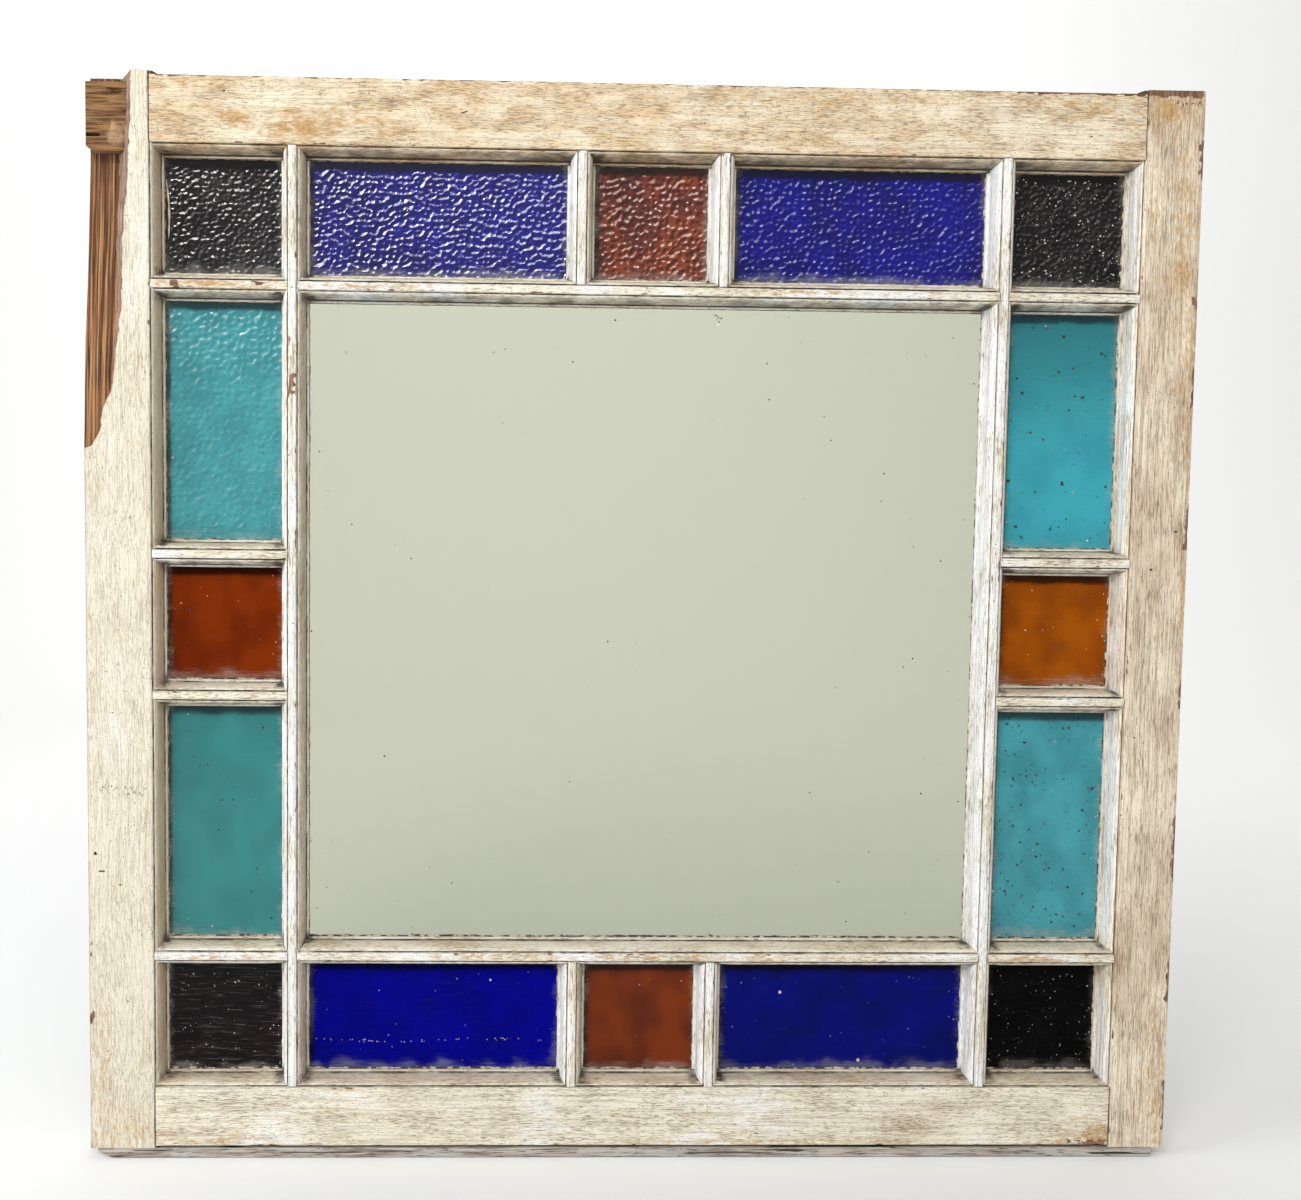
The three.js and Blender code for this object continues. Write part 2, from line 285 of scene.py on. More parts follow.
def outlineNormals(outline):
    # outward normals of a closed outline, the same way round for every row
    ahead, behind = np.roll(outline, -1, axis=-2), np.roll(outline, 1, axis=-2)
    run = ahead - behind
    normal = np.stack([run[..., 1], -run[..., 0]], -1)
    normal /= np.maximum(np.linalg.norm(normal, axis=-1, keepdims=True), 1e-9)
    area = np.sum(outline[..., 0] * ahead[..., 1] - outline[..., 1] * ahead[..., 0], axis=-1)
    return normal * np.sign(area)[..., None, None]


woodRelief = {
    "least": 0.02,        # loss everywhere, so that nothing stands out of the solids
    "grain": 0.10,        # depth of the raised grain under the paint
    "unevenness": 0.22,   # slow hollows left by plane and brush
    "arris": 0.32,        # general loss along the arrises
    "arrisReach": 0.8,
    "endReach": 0.9,      # the same at the ends of a member, and how much of it
    "endShare": 0.6,
    "chip": 0.9,          # depth of the larger chips on the arrises
    "chipLength": 7.0,
    "chipShare": 0.45,    # lower for more chips
}
sweptEdges = {}           # by piece: upright or not, its worn edges and its seed


def reliefDepth(along, across, depth, edgeness, seed):
    # what is lost off the surface, and where the chips are
    r = woodRelief
    fibre = layeredNoise(along / 26, across / 1.9, depth / 1.9, seed, 2)
    slow = layeredNoise(along / 90, across / 22, depth / 22, seed + 5, 2)
    worn = layeredNoise(along / 16, across / 9, depth / 9, seed + 9, 3)
    chip = smoothStep(layeredNoise(along / r["chipLength"], across / 12, depth / 12, seed + 13, 2),
                      r["chipShare"] - 0.12, r["chipShare"] + 0.08)
    loss = r["grain"] * (0.5 + 0.5 * fibre) + r["unevenness"] * (0.5 + 0.5 * slow)
    loss = loss + edgeness * (r["arris"] * (0.6 + 0.4 * worn) + r["chip"] * chip)
    return r["least"] + loss, edgeness * chip


def sweepMember(name, outline, stations, upright, starts, ends, edgePlaces, seed, materials):
    # one length of sash stuff: outline (points, 2) or one outline for each station
    r = woodRelief
    sweptEdges[name] = (upright, edgePlaces, seed)
    outlines = np.broadcast_to(outline, (len(stations),) + outline.shape[-2:])
    low, high = stations[0], stations[-1]
    share = ((np.array(stations) - low) / (high - low))[:, None]
    along = starts[None, :] + share * (ends - starts)[None, :]
    across, depth = outlines[..., 0].copy(), outlines[..., 1].copy()
    edgeness = np.zeros(across.shape)
    for place, level in edgePlaces:
        edgeness = np.maximum(edgeness, near(np.hypot(across - place, depth - level), r["arrisReach"]))
    endness = near(np.minimum(along - low, high - along), r["endReach"]) * (depth < 1.0)
    edgeness = np.maximum(edgeness, r["endShare"] * endness)
    loss = reliefDepth(along, across, depth, edgeness, seed)[0]
    normal = outlineNormals(outlines)
    across, depth = across - normal[..., 0] * loss, depth - normal[..., 1] * loss
    x, z = (across, along) if upright else (along, across)
    return sweptPiece(name, x, depth, z, outlines, materials)


def stationsBetween(low, high, step, extra=()):
    # places along a piece, closer at both ends and in the extra ranges (low, high, step)
    places = np.linspace(low, high, max(2, int(round((high - low) / step)) + 1))
    dense = [np.arange(a, b, s) for a, b, s in extra]
    ends = np.array([0.3, 0.7, 1.2, 2.0, 3.2, 4.6])
    places = np.concatenate([places, low + ends, high - ends] + dense)
    places = np.unique(np.round(places[(places >= low) & (places <= high)], 3))
    keep = np.concatenate([[True], np.diff(places) > 0.12])
    keep[-1] = True
    return places[keep]


def newMaterial(name):
    material = bpy.data.materials.new(name)
    material.use_nodes = True
    return material, material.node_tree, material.node_tree.nodes["Principled BSDF"]


def addNode(tree, kind, inputs, **settings):
    node = tree.nodes.new("ShaderNode" + kind)
    for key, value in settings.items():
        setattr(node, key, value)
    for key, value in inputs.items():
        if isinstance(value, bpy.types.NodeSocket):
            tree.links.new(value, node.inputs[key])
        else:
            node.inputs[key].default_value = value
    return node


def blend(tree, share, base, over):
    colours = [v if isinstance(v, bpy.types.NodeSocket) else (*v, 1) for v in (base, over)]
    return addNode(tree, "Mix", {0: share, 6: colours[0], 7: colours[1]}, data_type="RGBA").outputs[2]


def calc(tree, operation, first, second=0.0):
    return addNode(tree, "Math", {0: first, 1: second}, operation=operation).outputs[0]


def more(tree, base, value, amount):
    # base and a share of value
    return calc(tree, "ADD", base, calc(tree, "MULTIPLY", value, amount))


def varied(tree, base, noise, amount):
    # base moved up and down by a noise that swings about one half
    return more(tree, base, calc(tree, "SUBTRACT", noise, 0.5), amount)


def rise(tree, value, low, high, top=1.0):
    # nothing below low, all above high
    return addNode(tree, "MapRange", {0: value, 1: low, 2: high, 3: 0.0, 4: top},
                   interpolation_type="SMOOTHSTEP").outputs[0]


def mask(tree, name):
    return addNode(tree, "Attribute", {}, attribute_name=name).outputs["Fac"]


def addBump(tree, shader, height, strength, size):
    bump = addNode(tree, "Bump", {"Height": height, "Strength": strength, "Distance": size * mm})
    tree.links.new(bump.outputs[0], shader.inputs["Normal"])


def joinLook(tree, shader, colour, rough):
    tree.links.new(colour, shader.inputs["Base Color"])
    tree.links.new(rough, shader.inputs["Roughness"])


def grainNoise(tree, along, length, across, detail=2.0, wander=0.0, shift=0.0, deep=None):
    # noise drawn out along the grain: the size of one mark along and across, in mm
    place = addNode(tree, "TexCoord", {}).outputs["Object"]
    if wander:
        drift = addNode(tree, "TexNoise", {"Vector": place, "Scale": 11.0, "Detail": 1.0}).outputs["Color"]
        drift = addNode(tree, "VectorMath", {0: drift, 1: (0.5, 0.5, 0.5)}, operation="SUBTRACT").outputs[0]
        drift = addNode(tree, "VectorMath", {0: drift, "Scale": wander * mm}, operation="SCALE").outputs[0]
        place = addNode(tree, "VectorMath", {0: place, 1: drift}, operation="ADD").outputs[0]
    size = [1 / (across * mm)] * 3
    if deep:
        size[1] = 1 / (deep * mm)
    size["xyz".index(along)] = 1 / (length * mm)
    place = addNode(tree, "Mapping", {"Vector": place, "Location": (shift, shift * 0.7, shift * 1.3),
                                      "Scale": size}).outputs[0]
    return addNode(tree, "TexNoise", {"Vector": place, "Scale": 1.0, "Detail": detail}).outputs[0]


# Old oil paint, in linear colours; tone 0 is the whitest paint, 0.3 the cream and 1 the tan
oldPaint = {
    "white": (0.88, 0.88, 0.87),
    "cream": (0.83, 0.77, 0.62),
    "tan": (0.60, 0.455, 0.285),
    "mottle": 0.9, "patch": 16.0,           # blotches of tone, and their size in mm
    "ridges": 0.62, "ridgeWidth": 1.0,      # light and dark brushing along the grain
    "ridgeLength": 80.0,
    "ridgeColour": (0.46, 0.38, 0.265),
    "dashes": 0.575, "dashLength": 10.0, "dashWidth": 0.45,     # higher for fewer
    "dashPatches": 0.35, "dashTone": 0.04,  # how much they follow the blotches and the tone
    "dashColour": (0.17, 0.105, 0.06), "dashStrength": 0.68,
    "dots": 0.705, "dotColour": (0.07, 0.045, 0.028),
    "stainColour": (0.50, 0.30, 0.115),
    "woodColour": (0.13, 0.07, 0.042),
    "dirtColour": (0.035, 0.025, 0.018),
    "wander": 5.0,
    "roughness": 0.58, "shine": 0.32,
}


def paintMaterial(name, along, shift, changes):
    look = dict(oldPaint, **changes)
    material, tree, shader = newMaterial(name)
    broad = grainNoise(tree, along, look["patch"] * 2.4, look["patch"], 4, 0, shift)
    # the tone mask also carries painted light and shade by the way each moulding faces
    tone = varied(tree, mask(tree, "tone"), broad, look["mottle"])
    colour = blend(tree, rise(tree, tone, 0.0, 0.3), look["white"], look["cream"])
    colour = blend(tree, rise(tree, tone, 0.25, 1.05), colour, look["tan"])
    ridges = grainNoise(tree, along, look["ridgeLength"], look["ridgeWidth"], 2, look["wander"], shift + 3)
    colour = blend(tree, rise(tree, ridges, 0.42, 0.68, look["ridges"]), colour, look["ridgeColour"])
    # open grain showing as short dashes, thicker where the tone is darker
    dashes = grainNoise(tree, along, look["dashLength"], look["dashWidth"], 1.5, look["wander"], shift + 5)
    toneShare = calc(tree, "MULTIPLY", tone, look["dashTone"])
    dashes = calc(tree, "ADD", dashes, varied(tree, toneShare, broad, look["dashPatches"]))
    dashShare = rise(tree, dashes, look["dashes"], look["dashes"] + 0.09, look["dashStrength"])
    colour = blend(tree, dashShare, colour, look["dashColour"])
    dots = grainNoise(tree, along, 1.3, 1.0, 1.0, 0, shift + 9)
    dotShare = rise(tree, dots, look["dots"], look["dots"] + 0.03, 0.85)
    colour = blend(tree, dotShare, colour, look["dotColour"])
    # water stains with a net of darker cracks, then paint lost to the wood, then dirt
    fine = grainNoise(tree, along, 5.0, 1.6, 3, 0, shift + 11)
    stain = rise(tree, varied(tree, mask(tree, "stain"), fine, 1.3), 0.06, 0.62, 0.92)
    colour = blend(tree, stain, colour, look["stainColour"])
    web = grainNoise(tree, along, 7.0, 2.6, 3, 6.0, shift + 13)
    web = rise(tree, calc(tree, "ABSOLUTE", calc(tree, "SUBTRACT", web, 0.5)), 0.0, 0.03)
    web = calc(tree, "MULTIPLY", calc(tree, "SUBTRACT", 1.0, web), mask(tree, "stain"))
    colour = blend(tree, rise(tree, web, 0.08, 0.6, 0.9), colour, [v * 0.3 for v in look["stainColour"]])
    worn = rise(tree, varied(tree, mask(tree, "wear"), fine, 1.1), 0.42, 0.56)
    wood = blend(tree, rise(tree, ridges, 0.35, 0.65), look["woodColour"], [v * 2.2 for v in look["woodColour"]])
    colour = blend(tree, worn, colour, wood)
    dirt = rise(tree, varied(tree, mask(tree, "dirt"), fine, 0.55), 0.22, 0.85, 0.94)
    colour = blend(tree, dirt, colour, look["dirtColour"])
    joinLook(tree, shader, colour, more(tree, more(tree, look["roughness"], worn, 0.25), dashShare, 0.12))
    shader.inputs["Specular IOR Level"].default_value = look["shine"]
    height = calc(tree, "SUBTRACT", calc(tree, "MULTIPLY", ridges, 0.8), dashShare)
    height = calc(tree, "SUBTRACT", height, calc(tree, "ADD", dotShare, worn))
    addBump(tree, shader, height, 0.55, 0.25)
    return material


# Bare timber, in linear colours
bareTimber = {
    "light": (0.42, 0.25, 0.13),
    "dark": (0.16, 0.075, 0.035),
    "line": (0.035, 0.02, 0.014),
    "lines": 0.60,
    "width": 1.5,
    "length": 60.0,
    "poreLength": 11.0,
    "poreWidth": 0.6,
    "wander": 4.0,
    "deep": None,           # size of a mark into the wood, where a split runs across the grain
    "grey": (0.42, 0.38, 0.33),
    "greyShare": 0.0,
    "dirtColour": (0.02, 0.014, 0.01),
    "roughness": 0.82, "shine": 0.25,
}


def timberMaterial(name, along, shift, changes):
    look = dict(bareTimber, **changes)
    material, tree, shader = newMaterial(name)
    figure = grainNoise(tree, along, look["length"], look["width"], 3, look["wander"], shift, look["deep"])
    broad = grainNoise(tree, along, 40, 9, 3, 0, shift + 2)
    colour = blend(tree, rise(tree, figure, 0.36, 0.64), look["light"], look["dark"])
    colour = blend(tree, rise(tree, broad, 0.40, 0.66, look["greyShare"]), colour, look["grey"])
    pores = grainNoise(tree, along, look["poreLength"], look["poreWidth"], 2, look["wander"], shift + 4,
                       look["deep"])
    poreShare = rise(tree, pores, look["lines"], look["lines"] + 0.07, 0.85)
    colour = blend(tree, poreShare, colour, look["line"])
    if "splinter" in look:
        colour = blend(tree, rise(tree, mask(tree, "tone"), 0.25, 0.75, 0.9), colour, look["splinter"])
        colour = blend(tree, poreShare, colour, look["line"])
    colour = blend(tree, rise(tree, mask(tree, "dirt"), 0.2, 0.8, 0.94), colour, look["dirtColour"])
    joinLook(tree, shader, colour, more(tree, look["roughness"], poreShare, 0.1))
    shader.inputs["Specular IOR Level"].default_value = look["shine"]
    addBump(tree, shader, calc(tree, "SUBTRACT", figure, poreShare), 0.8, 0.35)
    return material


def lumpyMaterial(name, light, dark, lumps, turn, rough, specks=None):
    # lumps: the noise, as for grainNoise; turn: where light goes over to dark; specks: the same for fine specks
    material, tree, shader = newMaterial(name)
    surface = grainNoise(tree, "x", *lumps)
    colour = blend(tree, rise(tree, surface, *turn), light, dark)
    if specks:
        surface = grainNoise(tree, "x", *specks["lumps"])
        colour = blend(tree, rise(tree, surface, *specks["turn"]), colour, specks["colour"])
        if "bump" in specks:
            addBump(tree, shader, surface, *specks["bump"])
    joinLook(tree, shader, colour, rise(tree, surface, *rough))
    return material


def flakeMaterial(name, light, dark):
    return lumpyMaterial(name, light, dark, (3.0, 3.0, 3, 0, 47), (0.42, 0.58), (0.0, 1.0, 0.95))


# Places taken from the frame
leftStileLow, leftStileHigh = boxMm("left_stile")
rightStileLow, rightStileHigh = boxMm("right_stile")
topRailLow, topRailHigh = boxMm("top_rail")
bottomRailLow, bottomRailHigh = boxMm("bottom_rail")
barLow, barHigh = boxMm("left_upright_bar")
width = moulding["width"]
leftArris = leftStileHigh[0] - width
rightArris = rightStileLow[0] + width
upperArris = topRailLow[2] + width
lowerArris = bottomRailHigh[2] - width
stileBottom, stileTop = leftStileLow[2], leftStileHigh[2]
outerSide = leftStileLow[0]
barHalf = (barHigh[0] - barLow[0]) / 2 - width      # half the flat face of a bar

# arris lines round every pane opening: left, right, low, high
openings = []
for node in [n for n in nodeNames if n.startswith("pane_")]:
    low, high = boxMm(node)
    openings.append((low[0] - 1, high[0] + 1, low[2] - 1, high[2] + 1))
print("section and places ready")


def openingReach(x, z):
    # how far a point lies inside its pane opening, from the upright and from the level arris
    across, up = np.full(x.shape, -99.0), np.full(x.shape, -99.0)
    for left, right, low, high in openings:
        dx, dz = np.minimum(x - left, right - x), np.minimum(z - low, high - z)
        here = np.minimum(dx, dz) > np.minimum(across, up)
        across, up = np.where(here, dx, across), np.where(here, dz, up)
    return across, up


def nearFoot(z):
    # 1 by the lower edge of an opening
    return np.max([near(z - low, 16.0) for left, right, low, high in openings], axis=0)


grimeAndShade = {
    "quirk": 1.0, "quirkPlace": 0.33, "quirkWidth": 0.6,    # dirt in the open groove of the moulding
    "root": 0.9, "rootPlace": 5.0, "rootWidth": 0.42,       # and where the round meets the fillet
    "mitre": 0.5, "mitreWidth": 0.6,
    "glassLine": 0.8,
    "joint": 0.85, "jointWidth": 0.75,
    "brightSide": 0.65,     # painted light: how much less of the dark mask lies on the mouldings that face left, so that they look brighter
    "corner": 0.75, "cornerPlace": 6.5, "cornerSize": 5.5,  # dirt gathered in the lower corners
    "ledge": 0.18,          # dust lying on the upward mouldings
    # tone by the way a moulding faces: painted light to the left, painted shade with dirt to the right, dust upwards,
    # painted shade downwards
    "rightTone": 0.50, "upTone": 0.30, "downTone": 0.02, "leftTone": -0.62,
    "underside": 0.56,      # painted shade: how much darker the mouldings that face down are made
    "edgeReach": 1.3,       # worn paint along the arrises, how much, and more towards the right
    "edgeWear": 0.30, "rightWear": 0.16,
}


def weatherAndShade(piece, joints=(), tone=0.3, drift=0.0, stains=(), bare=(), sound=None, speckle=0.05, lowSpeckle=0.0):
    # masks for the paint: tone, dirt, stain and wear, worked out from where each point lies; the tone and the dark
    # mask also carry painted light and shade by the way each surface faces
    g = grimeAndShade
    upright, edgePlaces, seed = sweptEdges[piece.name]
    mesh = piece.data
    points = meshPoints(mesh)
    x, depth, z = points[:, 0], points[:, 1] - frontFace, points[:, 2]
    normal = np.empty(len(mesh.vertices) * 3)
    mesh.vertices.foreach_get("normal", normal)
    normal = normal.reshape(-1, 3)
    toRight, toLeft, toUp, toDown = [np.clip(v, 0, 1) for v in
                                     (normal[:, 0], -normal[:, 0], normal[:, 2], -normal[:, 2])]
    across, up = openingReach(x, z)
    inside = np.minimum(across, up)
    moulded = smoothStep(inside, 0.2, 0.8) * (depth < 20.2)
    # dirt in the hollows, in the corners and along the joints
    dirt = g["quirk"] * near(inside - g["quirkPlace"], g["quirkWidth"]) * smoothStep(depth, 0.1, 0.9) * (depth < 6)
    root = near(inside - g["rootPlace"], g["rootWidth"]) * smoothStep(depth, 14.5, 16.0) * (depth < 18.2)
    foot = near(np.hypot(across - g["cornerPlace"], up - g["cornerPlace"]), g["cornerSize"])
    foot = foot * (0.35 + 0.65 * nearFoot(z)) * moulded
    foot = foot * (1 + 0.9 * layeredNoise(x / 3, z / 3, depth / 3, seed + 37, 2))
    mitre = near(across - up, g["mitreWidth"]) * moulded
    glassLine = smoothStep(depth, 18.4, 19.8) * (inside > 6) * (depth < 20.4)
    for key, share in [("root", root), ("corner", foot), ("mitre", mitre), ("glassLine", glassLine)]:
        dirt = np.maximum(dirt, g[key] * share)
    # painted light: the mouldings that face left lose part of their dark mask
    dirt = dirt * (1 - g["brightSide"] * toLeft)
    for axis, line, least, most in joints:
        place, other = (x, z) if axis == "x" else (z, x)
        dirt = np.maximum(dirt, g["joint"] * near(place - line, g["jointWidth"]) * (other > least) * (other < most))
    # dust over everything, most on the ledges, and painted shade on the undersides
    dust = layeredNoise(x / 11, z / 11, depth / 11, seed + 31, 3)
    dirt = dirt * (0.8 + 0.35 * dust)
    dirt = dirt + (speckle + lowSpeckle * smoothStep(-z, -330, -20)) * (1 + dust) * (normal[:, 0] > -0.5)
    dirt = dirt + g["ledge"] * moulded * toUp * (0.6 + 0.6 * dust)
    # painted shade: the mouldings that face down are darkened
    dirt = dirt + g["underside"] * moulded * toDown * (0.8 + 0.5 * dust)
    shade = tone + drift * layeredNoise(x / 70, z / 70, depth / 70, seed + 33, 2)
    # painted light and shade in the tone: whiter where a moulding faces left, tan with shade and dirt where it faces
    # right, dusty tan upwards, a little darker downwards
    shade = shade + moulded * (g["rightTone"] * toRight + g["leftTone"] * toLeft + g["upTone"] * toUp
                               + g["downTone"] * toDown)
    stain = np.zeros(len(x))
    for cx, cz, rx, rz, strength in stains:
        spot = np.exp(-((x - cx) / rx) ** 2 - ((z - cz) / rz) ** 2)
        stain = np.maximum(stain, strength * spot * (0.65 + 0.6 * dust))
    # paint worn off the arrises and the bared patches
    edgeness = np.zeros(len(x))
    sunk = smoothStep(depth, 0.55, 1.1) * (depth < 9) * (inside < -0.9)
    for place, level in edgePlaces:
        side = (x if upright else z) - place
        edgeness = np.maximum(edgeness, near(np.hypot(side, depth - level), g["edgeReach"]))
        sunk = sunk * (np.abs(side) > 1.2)
    along, side = (z, x) if upright else (x, z)
    chips = reliefDepth(along, side, depth, edgeness, seed)[1]
    wear = (g["edgeWear"] + g["rightWear"] * (x > 390)) * edgeness * (0.7 + 0.5 * dust)
    wear = np.maximum(chips * 1.1, wear)
    for left, right, low, high, strength in bare:
        patch = np.minimum(np.minimum(x - left, right - x), np.minimum(z - low, high - z) * 1.6)
        torn = layeredNoise(x / 4, z / 2.5, depth / 4, seed + 35, 2)
        wear = np.maximum(wear, strength * smoothStep(patch + 2.6 * torn, -0.4, 2.0) * (depth < 2.5))
    # anything sunk below the front face away from the openings and edges is a hole or a split
    sunk = sunk * (np.abs(x - outerSide) > 1.8)
    if sound is not None:
        sunk = sunk * sound(x, z)
    for key, values in [("dirt", np.maximum(dirt, sunk)), ("tone", shade), ("stain", stain), ("wear", wear)]:
        setAttribute(mesh, key, values)


def bareFaces(piece, test, split=None):
    # the second material where test is true, and the third where split is true as well
    x, y, z = faceCentres(piece.data).T
    index = np.where(test(x, y - frontFace, z), 1, 0)
    if split is not None:
        index = np.where((index == 1) & split(x, y - frontFace, z), 2, index)
    piece.data.polygons.foreach_set("material_index", index.astype(np.int32))


def cutMarks(piece, marks):
    # holes, strokes and splits cut into the front face: outline corners (x, z), depth and taper
    points, faces = [], []
    for corners, deep, taper in marks:
        corners = np.array(corners, float)
        middle = corners.mean(0)
        start, count = len(points), len(corners)
        for level, size in [(-1.0, 1.0), (0.1, 1.0), (deep, taper)]:
            ring = middle + (corners - middle) * size
            points += [(a, frontFace + level, b) for a, b in ring]
        faces += gridFaces(3, count, start=start)
        faces.append(tuple(start + i for i in reversed(range(count))))
        faces.append(tuple(start + 2 * count + i for i in range(count)))
    combine(piece, closedPiece("marks", points, faces), "DIFFERENCE")


def roundHole(x, z, radius, deep, seed, stretch=1.0, taper=0.6):
    corners, count = [], 12
    for i in range(count):
        angle = 2 * math.pi * i / count
        r = radius * (1 + 0.22 * float(latticeValue(np.int64(i), np.int64(seed), np.int64(3), 7)))
        corners.append((x + r * stretch * math.cos(angle), z + r * math.sin(angle)))
    return corners, deep, taper


def stroke(x, z, length, width, angle, deep, taper=0.55):
    corners = []
    for a, b in [(-0.5, 0.0), (-0.3, -0.5), (0.25, -0.45), (0.5, 0.05), (0.2, 0.5), (-0.25, 0.4)]:
        u, v = a * length, b * width
        corners.append((x + u * math.cos(angle) - v * math.sin(angle),
                        z + u * math.sin(angle) + v * math.cos(angle)))
    return corners, deep, taper


# The break, in millimetres: height of the front edge of the sound wood above the sash bottom line,
# its distance from the outer edge, and the depth of the split there
headBreak = {
    "edge": [(785.4, 35.4), (785, 35.4), (778, 34.6), (757, 34.0), (736, 33.1), (723, 32.6), (705, 31.8),
             (691, 30.3), (674, 28.7), (660, 27.6), (632, 27.3), (625, 27.5), (606, 25.2), (590, 22.9),
             (572, 21.7), (563, 20.2), (555, 16.2), (547, 13.1), (537, 12.2), (531, 10.2), (523, 5.1),
             (520.4, 0.0)],
    "depth": [(785.4, 24.2), (725, 24.2), (699, 21.0), (677, 18.0), (634, 12.6), (612, 9.0), (597, 6.0),
              (560, 3.6), (535, 1.6), (520.4, 0.0)],
    "foot": (520.4, 540),       # where the break runs out
    "lean": 0.5,
    "ribs": 1.1, "slantRibs": 2.4,
    "wornArris": (0.7, 0.6),    # least width and depth, below the break too
}


def breakAt(height):
    edge, depth = [np.interp(height, *zip(*sorted(headBreak[key])), left=0.0) for key in ("edge", "depth")]
    bite = smoothStep(height, *headBreak["foot"])
    edge = edge + bite * (0.5 * smoothNoise(height / 5, 0, 0, 3) + 0.3 * smoothNoise(height / 1.7, 0, 0, 4))
    return np.maximum(edge, 0), np.maximum(depth, 0)


def brokenStileOutlines(stations):
    ribs = headBreak["ribs"]
    inner = [(leftArris + i, d) for i, d in mouldedEdge()]
    back = [(a, 35.0) for a in spread(outerSide, inner[-1][0], 5.0)[::-1]]
    outlines = []
    edges, depths = breakAt(np.array(stations))
    for height, edge, deep in zip(stations, edges, depths):
        edge, deep = max(edge, headBreak["wornArris"][0]), max(deep, headBreak["wornArris"][1])
        floorEnd = edge - headBreak["lean"] * deep
        outer = [(outerSide + 0.3, 34.9)] + [(outerSide, d) for d in np.linspace(34.4, deep + 0.4, 11)]
        # the floor of the split is ribbed along the grain, the slanting side less so
        s = np.linspace(0, 1, 17)
        rib = ribs * layeredNoise(floorEnd * s / 2.3, height / 55, 0, 5, 2) * np.minimum(1, deep / 6)
        level = deep + 0.15 * (1 - s) ** 6 + (rib - ribs * 0.4) * (1 - s ** 8)
        floor = list(zip(outerSide + floorEnd * s, level))
        s = np.linspace(0, 1, 16)[1:]
        rib = 0.6 * layeredNoise(s * 5, height / 30, 3, 6, 2) * 4 * s * (1 - s) * np.minimum(1, deep / 8)
        slant = list(zip(outerSide + floorEnd + (edge - floorEnd) * s, np.maximum(deep * (1 - s) + rib, 0)))
        face = [(a, 0.0) for a in np.linspace(outerSide + edge, leftArris - 1.5, 36)[1:-1]]
        outlines.append(inner + back + outer + floor + slant + face)
    return np.array(outlines)


def makeStile(name, outline, stations, edgePlaces, seed, materials):
    count = outline.shape[-2]
    stile = sweepMember(name, outline, stations, True, np.full(count, stileBottom), np.full(count, stileTop),
                        edgePlaces, seed, materials)
    print(name, len(stile.data.polygons))
    return stile


leftStilePaint = paintMaterial("leftStilePaint", "z", 1.0, {
    "white": (0.82, 0.81, 0.78), "cream": (0.76, 0.70, 0.56), "ridges": 0.60, "ridgeWidth": 0.75,
    "mottle": 0.40, "wander": 11.0, "dashStrength": 0.40, "dashLength": 7.0})
splitTimber = timberMaterial("splitTimber", "z", 2.0, {
    "light": (0.42, 0.22, 0.095), "dark": (0.13, 0.052, 0.024), "lines": 0.55, "length": 120.0,
    "width": 1.4, "poreLength": 46.0, "wander": 3.0, "deep": 60.0})
slantTimber = timberMaterial("slantTimber", "z", 4.0, {
    "light": (0.43, 0.29, 0.21), "dark": (0.16, 0.085, 0.06), "lines": 0.56, "length": 60.0,
    "width": 1.5, "poreLength": 30.0})
rightStilePaint = paintMaterial("rightStilePaint", "z", 6.0, {
    "cream": (0.89, 0.785, 0.62), "tan": (0.59, 0.45, 0.32), "mottle": 0.85, "ridges": 0.78,
    "dashes": 0.57, "wander": 4.0})
breakStations = stationsBetween(stileBottom, stileTop, 3.0, [(518, 786, 1.9)])
leftStile = makeStile("leftStile", brokenStileOutlines(breakStations), breakStations, [(leftArris, 0.0)], 11,
                      [leftStilePaint, splitTimber, slantTimber])
rightStile = makeStile("rightStile", memberOutline(rightArris, rightStileHigh[0], mouldedEdge(), plainEdge()),
                       stationsBetween(stileBottom, stileTop, 3.0),
                       [(rightArris, 0.0), (rightStileHigh[0], 0.0)], 23, [rightStilePaint, splitTimber])


tenon = {
    "front": 11.5,
    "thickness": 12.0,
    "outerShoulder": 2.7,
    "innerReach": 4.4,
    "clearance": 0.3,
    "root": 6.0,
    "station": 0.9,
}
railPaint = {
    "topRail": paintMaterial("topRailPaint", "x", 8.0, {
        "cream": (0.86, 0.765, 0.585), "tan": (0.66, 0.45, 0.23), "mottle": 1.25, "patch": 12.0,
        "dashLength": 6.0, "dashes": 0.58}),
    "bottomRail": paintMaterial("bottomRailPaint", "x", 11.0, {"mottle": 0.85, "dashLength": 6.0}),
}
tenonTimber = timberMaterial("tenonTimber", "x", 13.0, {
    "light": (0.30, 0.16, 0.065), "dark": (0.13, 0.06, 0.026), "length": 34.0, "wander": 2.5,
    "poreLength": 20.0, "splinter": (0.48, 0.31, 0.19)})
def makeRail(name, arris, outer, inwards, seed):
    edge, square = mouldedEdge(), plainEdge()
    outline = memberOutline(arris, outer, edge, square) if inwards < 0 else memberOutline(outer, arris, square, edge)
    reach = copeReach(outline[:, 1])
    return sweepMember(name, outline, stationsBetween(leftArris, rightArris, 3.0), False, leftArris + reach,
                       rightArris - reach, [(arris, 0.0), (outer, 0.0)], seed, [railPaint[name], tenonTimber])


topRail = makeRail("topRail", upperArris, topRailHigh[2], -1, 31)
bottomRail = makeRail("bottomRail", lowerArris, bottomRailLow[2], 1, 37)


def tenonHeights(arris, outer, inwards, clearance):
    # of a through tenon: its outer shoulder, its inner edge before the rabbet and its step behind it
    shoulder = outer + inwards * (tenon["outerShoulder"] - clearance)
    inner = arris + inwards * (tenon["innerReach"] + clearance)
    return shoulder, inner, arris + inwards * clearance


